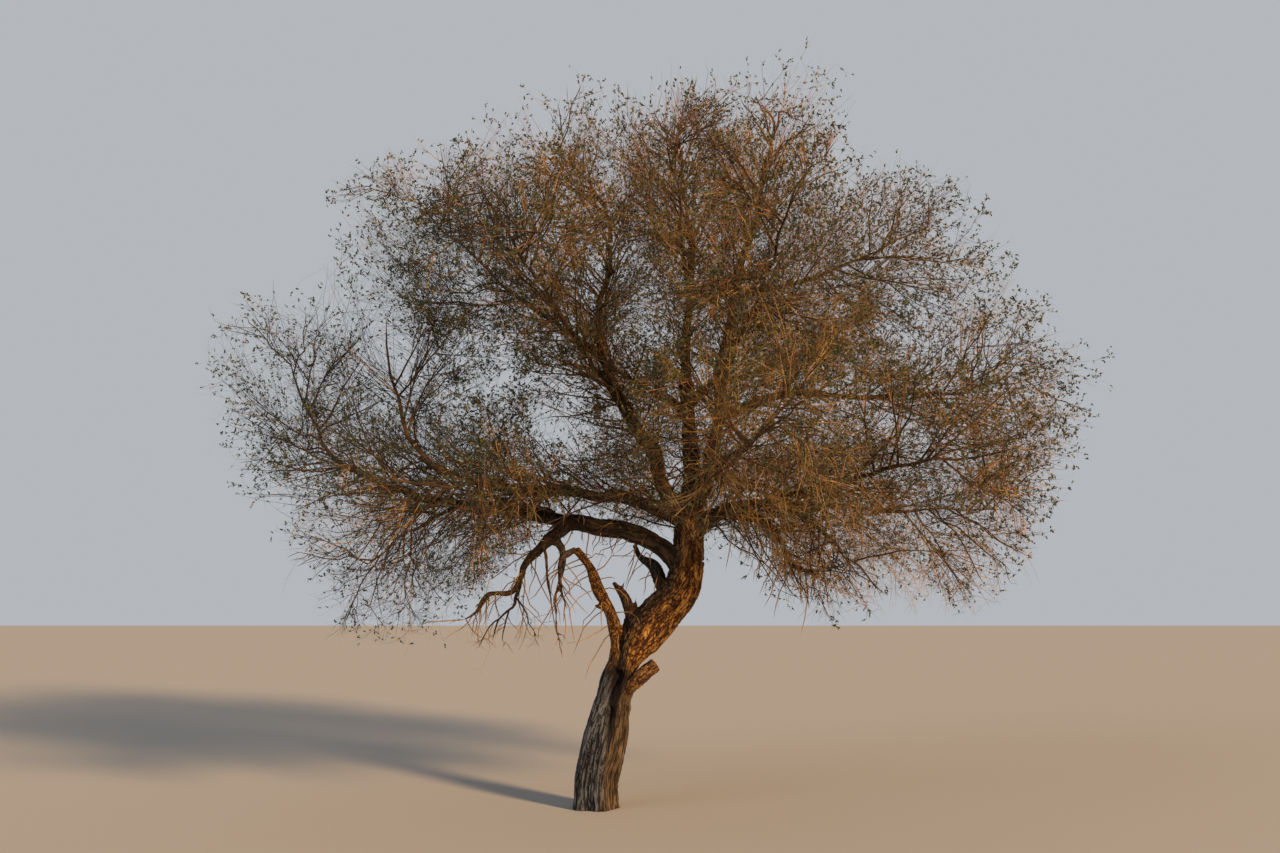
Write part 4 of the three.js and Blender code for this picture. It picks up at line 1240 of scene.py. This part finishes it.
# The bark's depth beside the limb's radius and its limits, the height that stays where it is, and
# the size of the lumps beside the radius, its limits and how far they stand out
BARK_DEPTH, BARK_DEPTHS, BARK_LEVEL = 0.1, (1.2, 12.0), 0.62
LUMP_SIZE, LUMP_SIZES, LUMP_HEIGHT = 0.9, (25, 140), 0.14


def seam_shade(spots, place):
    """How dark the painted shade of the trunk's seam is, by how deep points lie in it: from 0 outside it
    to 1 at its bottom.
    """
    across, wide, deep = seam_at(spots[:, 2])
    shade = np.exp(-((spots[:, 0] - across) / wide) ** 2) * deep / SEAM[:, 3].max()
    top = rise(spots[:, 2], *SEAM_TOP) * (place[:, 3] == 0)
    return np.clip(shade * SEAM_DARKER, 0, 1) * top * (spots[:, 1] < SEAM_FRONT)


def give_bark(name, limbs, voxel):
    """Grows limbs together, smooths the joins, raises the bark and notes its relief for colour."""
    piece = grown_together(name, limbs, voxel)
    mesh = piece.data
    spots = read_rows(mesh, "co") / MM
    edges = np.empty(len(mesh.edges) * 2, np.int32)
    mesh.edges.foreach_get("vertices", edges)
    first, second = edges.reshape(-1, 2).T
    ends, partners = np.concatenate([first, second]), np.concatenate([second, first])
    neighbours = np.bincount(ends, minlength=len(spots))[:, None]
    for _ in range(SMOOTH_ROUNDS):
        mean = np.stack([np.bincount(ends, spots[partners, axis], len(spots)) for axis in range(3)], 1)
        spots += (mean / neighbours - spots) * SMOOTH_PULL
    write_spots(mesh, spots)
    normals = read_rows(mesh, "normal")
    near, places = limb_places(spots, limbs)
    own = 0.5 + 0.5 * rise(near[1] - near[0], 0, LIMB_BLEND)

    def blended(pair):
        return pair[0] * own + pair[1] * (1 - own)

    weathered = [grey_wear_and_shade(spots, place, limbs) for place in places]
    height = blended([bark_height(place, worn) for place, worn in zip(places, weathered)])
    number = places[..., 3].astype(int)
    heavy = np.array([limb in HEAVY_LIMBS for limb in limbs])[number[0]]
    # Painted light and shade: golden on the side that faces the painted light, darker away from it
    facing = normals @ (PAINTED_LIGHT_WAY / np.linalg.norm(PAINTED_LIGHT_WAY))
    facing += (cloud(spots / SIDE_PATCH, SIDE_SALT) - 0.5) * SIDE_STRAY
    painted_light = np.where(heavy, np.clip(SIDE_MIDDLE + SIDE_CHANGE * facing, PAINTED_SHADE_SIDE, 1), 1)
    golden = blended(np.array([GOLDEN_LIMBS.get(limb, 0.0) for limb in limbs])[number]) * painted_light
    note_values(mesh, "relief", height)
    note_values(mesh, "weathered", blended(weathered))
    # The painted highlight along the edge of the trunk's hollow adds to the golden tone
    note_values(mesh, "golden", np.maximum(golden, lit_edge(spots, places[0])))
    # Painted shade in the trunk's seam
    note_values(mesh, "seam", seam_shade(spots, places[0]))
    radius = places[0, :, 2]
    lumps = cloud(spots / np.clip(radius * LUMP_SIZE, *LUMP_SIZES)[:, None], LUMP_SALT) - 0.5
    raised = (height - BARK_LEVEL) * np.clip(radius * BARK_DEPTH, *BARK_DEPTHS)
    spots += normals * (raised + lumps * radius * LUMP_HEIGHT)[:, None]
    spots[:, 2] = np.maximum(spots[:, 2], 0.0)
    mesh.polygons.foreach_set("use_smooth", np.ones(len(mesh.polygons), bool))
    write_spots(mesh, spots)
    return piece


CROWN_LIMBS = ["arch_bough", "arch_bough_end", "forearm_bough", "forearm_knot", "gnarled_spur",
               "long_left_bough", "left_leader", "centre_leader", "right_leader", "crooked_bough"]
BOUGHS = [f"{name}_bough" for name, *_ in MASSES if f"{name}_bough" in limb_book]

fork_bark = give_bark("trunk_and_fork_bark", FORK_LIMBS + [name for name, *_ in SMALL_ENDS], VOXEL_FORK)
crown_bark = give_bark("crown_limb_bark", CROWN_LIMBS, VOXEL_CROWN)
bough_bark = give_bark("bough_bark", BOUGHS, VOXEL_CROWN)


# Stems and branches of the masses, then twigs by colour
STEM_ROUND, BRANCH_ROUND, DRY_ROUND, TWIG_ROUND = 6, 5, 4, 3
BRANCH_TIP = 0.55
# The most triangles that a piece may have
PIECE_LIMIT = 195000
branch_piece = mesh_of("crown_branches", *merged([tubes(stems, STEM_ROUND, BRANCH_TIP),
                                                  tubes(branches, BRANCH_ROUND, BRANCH_TIP)]))


def twig_parts(tint):
    parts = []
    for kind in (shoots, whips, hangers, dry_shoots, dry_twigs, hanger_twigs, whip_twigs, twigs, twiglets):
        chosen = kind.pick(kind.tint == tint)
        if len(chosen):
            parts.append(tubes(chosen, DRY_ROUND if kind is dry_shoots else TWIG_ROUND))
    return merged(parts)


def pieces_of(name, corners, triangles):
    """One or more pieces, each under the limit of triangles, from one long list of small shapes."""
    count = -(-len(triangles) // PIECE_LIMIT)
    share = -(-len(triangles) // count)
    made = []
    for number in range(count):
        chosen = triangles[number * share:(number + 1) * share]
        used, renumbered = np.unique(chosen, return_inverse=True)
        made.append(mesh_of(f"{name}_{number + 1}", corners[used], renumbered.reshape(-1, 3)))
    return made


twig_pieces = {tint: pieces_of(f"twigs_{TINT_NAMES[tint]}", *twig_parts(tint))
               for tint in (GOLDEN, REDDISH, GREYISH, STRAW)}


# Leaves: sprays of small leaves by Geometry Nodes, on the last twigs
SPRAY_LEAVES = 3
SPRAY_LONG = 30.0
# The lean of a spray's first leaf, what each later one adds, how much smaller it is, and the least
# and the greatest size of a spray
LEAF_LEAN, LEAN_MORE, LEAF_SMALLER = 62.0 * 0.45, 62.0 * 0.75, 0.09
SPRAY_SIZES = (0.75, 1.3)
# One small leaf along +X, folded a little along its midrib, as its outline and its three faces
LEAF_SIZE = (20.0, 12.5, 2.0)
LEAF_OUTLINE = [(0, 0, 0), (0.42, -0.5, 1), (1, 0, 0), (0.74, 0.36, 1), (0.26, 0.46, 1)]
LEAF_TRIANGLES = np.array([(0, 1, 4), (1, 3, 4), (1, 2, 3)])
OLIVE, DARK_GREEN, GOLD_LEAF = range(3)
LEAF_NAMES = ["olive", "dark_green", "gold"]


def spray_mesh():
    """A spray of leaves that opens round +Z from one point."""
    parts = []
    for leaf in range(SPRAY_LEAVES):
        turn = math.radians(360 * leaf * GOLDEN_SHARE)
        tilt = math.radians(LEAF_LEAN + LEAN_MORE * leaf / SPRAY_LEAVES)
        outward = np.array([math.cos(turn), math.sin(turn), 0])
        long = outward * math.sin(tilt) + UP * math.cos(tilt)
        wide = np.cross(UP, outward)
        corners = np.array(LEAF_OUTLINE) * LEAF_SIZE * (1 - LEAF_SMALLER * leaf)
        corners = corners @ np.array([long, wide, np.cross(long, wide)])
        parts.append((corners + UP * SPRAY_LONG * (leaf / SPRAY_LEAVES - 1), LEAF_TRIANGLES))
    return mesh_of("leaf_spray", *merged(parts), smooth=False)


# Where along each kind of twig sprays may sit
LEAF_SPOTS = ((twiglets, 0.8), (twiglets, 0.5), (twigs, 0.4), (twigs, 0.9), (twigs, 0.65), (whips, 0.5),
              (whips, 0.8), (whip_twigs, 0.8))
# The share of these places that has a spray, and what is missing low down, far left and on dry twigs
LEAFY_SHARE, LOW_MISSING, LEFT_MISSING, DRY_KEPT = 0.26, 0.6, 0.35, 0.15
LEAFY_LOW, LEAFY_LEFT = (2300, 1400), (-900, -1800)
# Weights of the three colours of leaves, with what high, left and low places add to them: dark green
# to the left and low down as painted shade, gold high up as painted warm light
OLIVE_WEIGHT, DARK_WEIGHT, GOLD_WEIGHT = 0.6, 0.35, 0.1
DARK_LEFT, DARK_LOW, GOLD_HIGH = 0.7, 0.3, 0.25
LEAF_HIGH, LEAF_LEFT, LEAF_LOW = (4200, 5100), (-300, -1200), (2700, 1800)


def leaf_places():
    """Where sprays sit: (spots, directions, seeds), along twigs and at the ends of twiglets."""
    found = []
    for hosts, share in LEAF_SPOTS:
        last = hosts.points.shape[1] - 1
        place = share * last
        step = min(int(place), last - 1)
        run = hosts.points[:, step + 1] - hosts.points[:, step]
        spots = hosts.points[:, step] + run * (place - step)
        seeds = seed_of(hosts.seed, LEAF_DRAW + int(share * 100))
        low = rise(spots[:, 2], *LEAFY_LOW)
        left = rise(spots[:, 0], *LEAFY_LEFT)
        leafy = LEAFY_SHARE * (1 - LOW_MISSING * low) * (1 - LEFT_MISSING * left)
        dry = (hosts.mass == BARE_MASS) | ((hosts.tint == STRAW) & (low > 0))
        kept = chance(seeds, LEAF_DRAW) < np.where(dry, leafy * DRY_KEPT, leafy)
        found.append((spots[kept], unit(run)[kept], seeds[kept]))
    return [np.concatenate(rows) for rows in zip(*found)]


def leaf_tint(spots, seeds):
    """Dark green to the left and below as painted shade, gold at the top as painted warm light, and olive
    between.
    """
    high = rise(spots[:, 2], *LEAF_HIGH)
    left = rise(spots[:, 0], *LEAF_LEFT) * (1 - high)
    low = rise(spots[:, 2], *LEAF_LOW)
    return drawn_from([OLIVE_WEIGHT, DARK_WEIGHT + DARK_LEFT * left + DARK_LOW * low,
                       GOLD_WEIGHT + GOLD_HIGH * high], seeds)


def turns_towards(ways, seeds):
    """Turns about X, Y and Z that take +Z to each way, after a free turn round +Z."""
    spin = 2 * np.pi * chance(seeds, TURN_DRAW)
    lean = np.arccos(np.clip(ways[:, 2], -1, 1))
    face = np.arctan2(ways[:, 1], ways[:, 0])
    (cos_s, sin_s), (cos_l, sin_l), (cos_f, sin_f) = (
        (np.cos(angle), np.sin(angle)) for angle in (spin, lean, face))
    ahead_x = cos_f * cos_l * cos_s - sin_f * sin_s
    ahead_y = sin_f * cos_l * cos_s + cos_f * sin_s
    return np.stack([np.arctan2(sin_l * sin_s, cos_l), np.arcsin(np.clip(sin_l * cos_s, -1, 1)),
                     np.arctan2(ahead_y, ahead_x)], 1)


NODES_APART = 220


def add_node(tree, kind, settings=None, **inputs):
    """A node with its settings and its inputs' values, or links where a value is another's output.

    An input is given by its name, or by i and its number. Nodes stand in a row as they are added."""
    node = tree.nodes.new(kind)
    node.location = (NODES_APART * len(tree.nodes), 0)
    for name, value in (settings or {}).items():
        setattr(node, name, value)
    for name, value in inputs.items():
        numbered = name[0] == "i" and name[1:].isdigit()
        socket = node.inputs[int(name[1:]) if numbered else name.replace("_", " ")]
        if isinstance(value, bpy.types.NodeSocket):
            tree.links.new(value, socket)
        else:
            socket.default_value = value
    return node


def spray_tree():
    """Puts the spray on every point, turned and sized by the point's own numbers, and makes it real."""
    tree = bpy.data.node_groups.new("leaf_sprays", "GeometryNodeTree")
    for name, kind in (("Points", "Geometry"), ("Spray", "Object"), ("Leaf Size", "Float"),
                       ("Leaf Material", "Material")):
        tree.interface.new_socket(name, in_out="INPUT", socket_type=f"NodeSocket{kind}")
    tree.interface.new_socket("Leaves", in_out="OUTPUT", socket_type="NodeSocketGeometry")
    given = add_node(tree, "NodeGroupInput").outputs
    spray = add_node(tree, "GeometryNodeObjectInfo", Object=given["Spray"])
    turn, size = (add_node(tree, "GeometryNodeInputNamedAttribute", {"data_type": kind}, Name=name)
                  for name, kind in (("turn", "FLOAT_VECTOR"), ("size", "FLOAT")))
    scaled = add_node(tree, "ShaderNodeMath", {"operation": "MULTIPLY"}, i0=size.outputs[0],
                      i1=given["Leaf Size"])
    placed = add_node(tree, "GeometryNodeInstanceOnPoints", Points=given["Points"],
                      Instance=spray.outputs["Geometry"], Rotation=turn.outputs[0],
                      Scale=scaled.outputs[0])
    real = add_node(tree, "GeometryNodeRealizeInstances", Geometry=placed.outputs[0])
    painted = add_node(tree, "GeometryNodeSetMaterial", Geometry=real.outputs[0],
                       Material=given["Leaf Material"])
    add_node(tree, "NodeGroupOutput", i0=painted.outputs[0])
    return tree


def linear(code):
    """A colour for a shader from its sRGB hex value."""
    parts = [int(code[index:index + 2], 16) / 255 for index in (1, 3, 5)]
    return (*[part / 12.92 if part <= 0.04045 else ((part + 0.055) / 1.055) ** 2.4 for part in parts], 1.0)


def new_material(name, roughness, specular):
    """An empty finish: (material, its node tree, its shader)."""
    material = bpy.data.materials.new(name)
    material.use_nodes = True
    shader = material.node_tree.nodes["Principled BSDF"]
    shader.inputs["Roughness"].default_value = roughness
    shader.inputs["Specular IOR Level"].default_value = specular
    return material, material.node_tree, shader


def noise(tree, scale, detail):
    """Noise from 0 to 1 by place on the object."""
    place = add_node(tree, "ShaderNodeTexCoord").outputs["Object"]
    return add_node(tree, "ShaderNodeTexNoise", Vector=place, Scale=scale, Detail=detail).outputs["Fac"]


def mixed(tree, share, first, second, way="MIX"):
    return add_node(tree, "ShaderNodeMix", {"data_type": "RGBA", "blend_type": way},
                    i0=share, i6=first, i7=second).outputs[2]


def ramp(tree, factor, stops):
    node = add_node(tree, "ShaderNodeValToRGB", Fac=factor)
    stops_here = node.color_ramp.elements
    while len(stops_here) < len(stops):
        stops_here.new(0.5)
    for stop, (position, code) in zip(stops_here, stops):
        stop.position = position
        stop.color = linear(code)
    return node.outputs["Color"]


# Where a bark's crack, low and high colours stand in its relief, darker in the cracks partly as the
# bark's own dark furrows and partly as painted shade, how far fine grain shifts them, the patches that
# dull it, and how fine, strong and deep its grain is
BARK_STOPS = (0.1, 0.42, 0.9)
GRAIN_SHIFT = 0.44
PATCH_STOPS, PATCH_SHARE, PATCH_SCALE = [(0.32, "#8f8478"), (0.62, "#ffffff")], 0.7, 11.0
GRAIN_SCALE, GRAIN_STRONG, GRAIN_DEEP = 150.0, 0.6, 0.005
# The near-black of the painted shade in the trunk's seam
SEAM_PAINTED_SHADE = "#17100b"
PLANT_STOPS = (0.35, 0.65)


def bark_material(name, crack, brown, golden, grey):
    """Dry flaking bark: dark in its cracks, partly its own dark furrows and partly painted shade; tan to
    golden on its plates, the gold partly painted sunlight; silvery grey on worn wood, with painted shade
    added on the trunk's left.
    """
    material, tree, shader = new_material(name, roughness=0.88, specular=0.25)
    relief, weathered, gilt, seam = (
        add_node(tree, "ShaderNodeAttribute", {"attribute_name": kind}).outputs["Fac"]
        for kind in ("relief", "weathered", "golden", "seam"))
    grain = noise(tree, GRAIN_SCALE, detail=5.0)
    shift = add_node(tree, "ShaderNodeMath", {"operation": "MULTIPLY_ADD"},
                     i0=grain, i1=GRAIN_SHIFT, i2=-GRAIN_SHIFT / 2).outputs[0]
    height = add_node(tree, "ShaderNodeMath", {"operation": "ADD"}, i0=shift, i1=relief).outputs[0]
    # The relief picks darker colours down in the cracks, partly as painted shade
    tones = [ramp(tree, height, list(zip(BARK_STOPS, (crack, *pair)))) for pair in (brown, golden, grey)]
    colour = mixed(tree, gilt, tones[0], tones[1])
    colour = mixed(tree, weathered, colour, tones[2])
    patches = ramp(tree, noise(tree, PATCH_SCALE, detail=4.0), PATCH_STOPS)
    colour = mixed(tree, PATCH_SHARE, colour, patches, "MULTIPLY")
    # Painted shade darkens the seam
    colour = mixed(tree, seam, colour, linear(SEAM_PAINTED_SHADE))
    tree.links.new(colour, shader.inputs["Base Color"])
    bump = add_node(tree, "ShaderNodeBump", Height=grain, Strength=GRAIN_STRONG, Distance=GRAIN_DEEP)
    tree.links.new(bump.outputs[0], shader.inputs["Normal"])
    return material


def plant_material(name, dark, light, roughness, specular):
    """Plain colour for small growth, with a soft change from spot to spot."""
    material, tree, shader = new_material(name, roughness, specular)
    colour = ramp(tree, noise(tree, scale=7.0, detail=2.0), list(zip(PLANT_STOPS, (dark, light))))
    tree.links.new(colour, shader.inputs["Base Color"])
    return material


# Weathered acacia bark, flaked and furrowed: grey on the trunk's left, worn wood darkened with painted
# shade, brown on its right, and warm gold on the plates of the fork, partly painted sunlight
fork_material = bark_material("flaking_acacia_bark", "#1a120c", ("#3a2d22", "#75634a"),
                              ("#643c19", "#dba356"), ("#2a2b2d", "#6f7074"))
# Darker bark of the limbs inside the crown, partly their own tone and partly painted shade, with few
# bright plates
limb_material = bark_material("dark_limb_bark", "#15100c", ("#2f261d", "#5f4d3a"),
                              ("#5b3f24", "#a67b48"), ("#3f3a33", "#7f766a"))
# Plain brown bark of the branches
branch_material = plant_material("branch_bark", "#3a2b1d", "#63482d", 0.85, 0.25)
# Twigs: warm ochre, rosy brown, dull grey-brown, and pale dry straw; by where they are dealt out, the
# rosy brown high up is painted warm light and the dark grey-brown to the left and behind painted shade
twig_materials = {
    GOLDEN: plant_material("golden_twigs", "#5c421f", "#b08040", 0.75, 0.3),
    REDDISH: plant_material("reddish_twigs", "#68483a", "#a87c66", 0.75, 0.3),
    GREYISH: plant_material("grey_brown_twigs", "#2a2521", "#463f38", 0.8, 0.3),
    STRAW: plant_material("dry_straw_twigs", "#8f6f42", "#d4aa6c", 0.8, 0.3),
}
# Small leaves: dull olive, dark green as painted shade to the left and below, and gold as painted warm
# light at the top
leaf_materials = {
    OLIVE: plant_material("olive_leaves", "#3c4122", "#5f6334", 0.6, 0.35),
    DARK_GREEN: plant_material("dark_green_leaves", "#2b3326", "#48503a", 0.6, 0.35),
    GOLD_LEAF: plant_material("golden_leaves", "#6a5a2c", "#948046", 0.6, 0.35),
}


def leaf_piece(name, tree, spray, spots, ways, seeds, material):
    """Real sprays of leaves on all the spots, as one plain mesh."""
    mesh = bpy.data.meshes.new(name)
    mesh.vertices.add(len(spots))
    write_spots(mesh, spots)
    note_values(mesh, "turn", turns_towards(ways, seeds))
    note_values(mesh, "size", between(*SPRAY_SIZES, chance(seeds, LENGTH_DRAW)))
    piece = add_object(name, mesh)
    modifier = piece.modifiers.new("sprays", "NODES")
    modifier.node_group = tree
    values = {"Spray": spray, "Leaf Size": 1.0, "Leaf Material": material}
    for socket in tree.interface.items_tree:
        if socket.in_out == "INPUT" and socket.name in values:
            modifier[socket.identifier] = values[socket.name]
    return made_plain(piece)


def make_leaves():
    tree = spray_tree()
    spray = spray_mesh()
    spots, ways, seeds = leaf_places()
    tints = leaf_tint(spots, seeds)
    per_piece = PIECE_LIMIT // (SPRAY_LEAVES * len(LEAF_TRIANGLES))
    made = []
    for tint, name in enumerate(LEAF_NAMES):
        chosen = np.flatnonzero(tints == tint)
        parts = np.array_split(chosen, -(-len(chosen) // per_piece))
        made += [leaf_piece(f"leaves_{name}_{number + 1}", tree, spray, spots[part], ways[part],
                            seeds[part], leaf_materials[tint]) for number, part in enumerate(parts)]
    bpy.data.objects.remove(spray)
    return made


leaf_pieces = make_leaves()


def dress(piece, replaced, material=None):
    """Says what rides on the tree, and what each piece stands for."""
    if material is not None:
        piece.data.materials.clear()
        piece.data.materials.append(material)
    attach(piece, "root")
    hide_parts(*replaced)


mass_nodes = [f"{name}_foliage" for name, *_ in MASSES]
dress(fork_bark, FORK_LIMBS, fork_material)
dress(crown_bark, CROWN_LIMBS, limb_material)
dress(bough_bark, BOUGHS, limb_material)
dress(branch_piece, mass_nodes, branch_material)
for tint, tint_pieces in twig_pieces.items():
    for twig_piece in tint_pieces:
        dress(twig_piece, mass_nodes, twig_materials[tint])
for one_piece in leaf_pieces:
    dress(one_piece, mass_nodes)


# The studio: a pale floor, an even pale surround that is brighter to the camera than its light is on
# the tree, and soft light from the front right: name, turns, strength, breadth and colour
FLOOR_HALF = 60000.0
SKY_LIGHT, SKY_SEEN = 0.3, 0.66
LAMPS = [("key", (70, 0, 42), 4.2, 8, "#ffd4a2"), ("fill", (66, 0, -50), 0.5, 40, "#dfe8ff")]


def make_floor():
    corners = np.array([(-1, -1, 0), (1, -1, 0), (1, 1, 0), (-1, 1, 0)]) * FLOOR_HALF
    floor = mesh_of("studio_floor", corners, np.array([(0, 1, 2), (0, 2, 3)]))
    material, _, shader = new_material("pale_floor", roughness=0.9, specular=0.1)
    shader.inputs["Base Color"].default_value = linear("#cfcac2")
    floor.data.materials.append(material)


def make_light():
    bpy.context.scene.view_settings.view_transform = "Standard"
    world = bpy.data.worlds.new("studio")
    bpy.context.scene.world = world
    world.use_nodes = True
    tree = world.node_tree
    background = tree.nodes["Background"]
    background.inputs["Color"].default_value = linear("#d9dde2")
    seen = add_node(tree, "ShaderNodeLightPath").outputs["Is Camera Ray"]
    strength = add_node(tree, "ShaderNodeMapRange", Value=seen, To_Min=SKY_LIGHT, To_Max=SKY_SEEN)
    tree.links.new(strength.outputs["Result"], background.inputs["Strength"])
    for name, turn, power, angle, code in LAMPS:
        lamp = bpy.data.lights.new(name, "SUN")
        lamp.energy = power
        lamp.angle = math.radians(angle)
        lamp.color = linear(code)[:3]
        add_object(name, lamp).rotation_euler = [math.radians(value) for value in turn]


def make_camera():
    data = bpy.data.cameras.new("camera")
    data.lens = LENS_MM
    data.sensor_width = SENSOR_MM
    data.clip_end = 200.0
    camera = add_object("camera", data)
    camera.location = CAMERA_AT * MM
    camera.rotation_euler = (math.radians(90 + CAMERA_PITCH), 0, 0)
    bpy.context.scene.camera = camera


make_floor()
make_light()
make_camera()
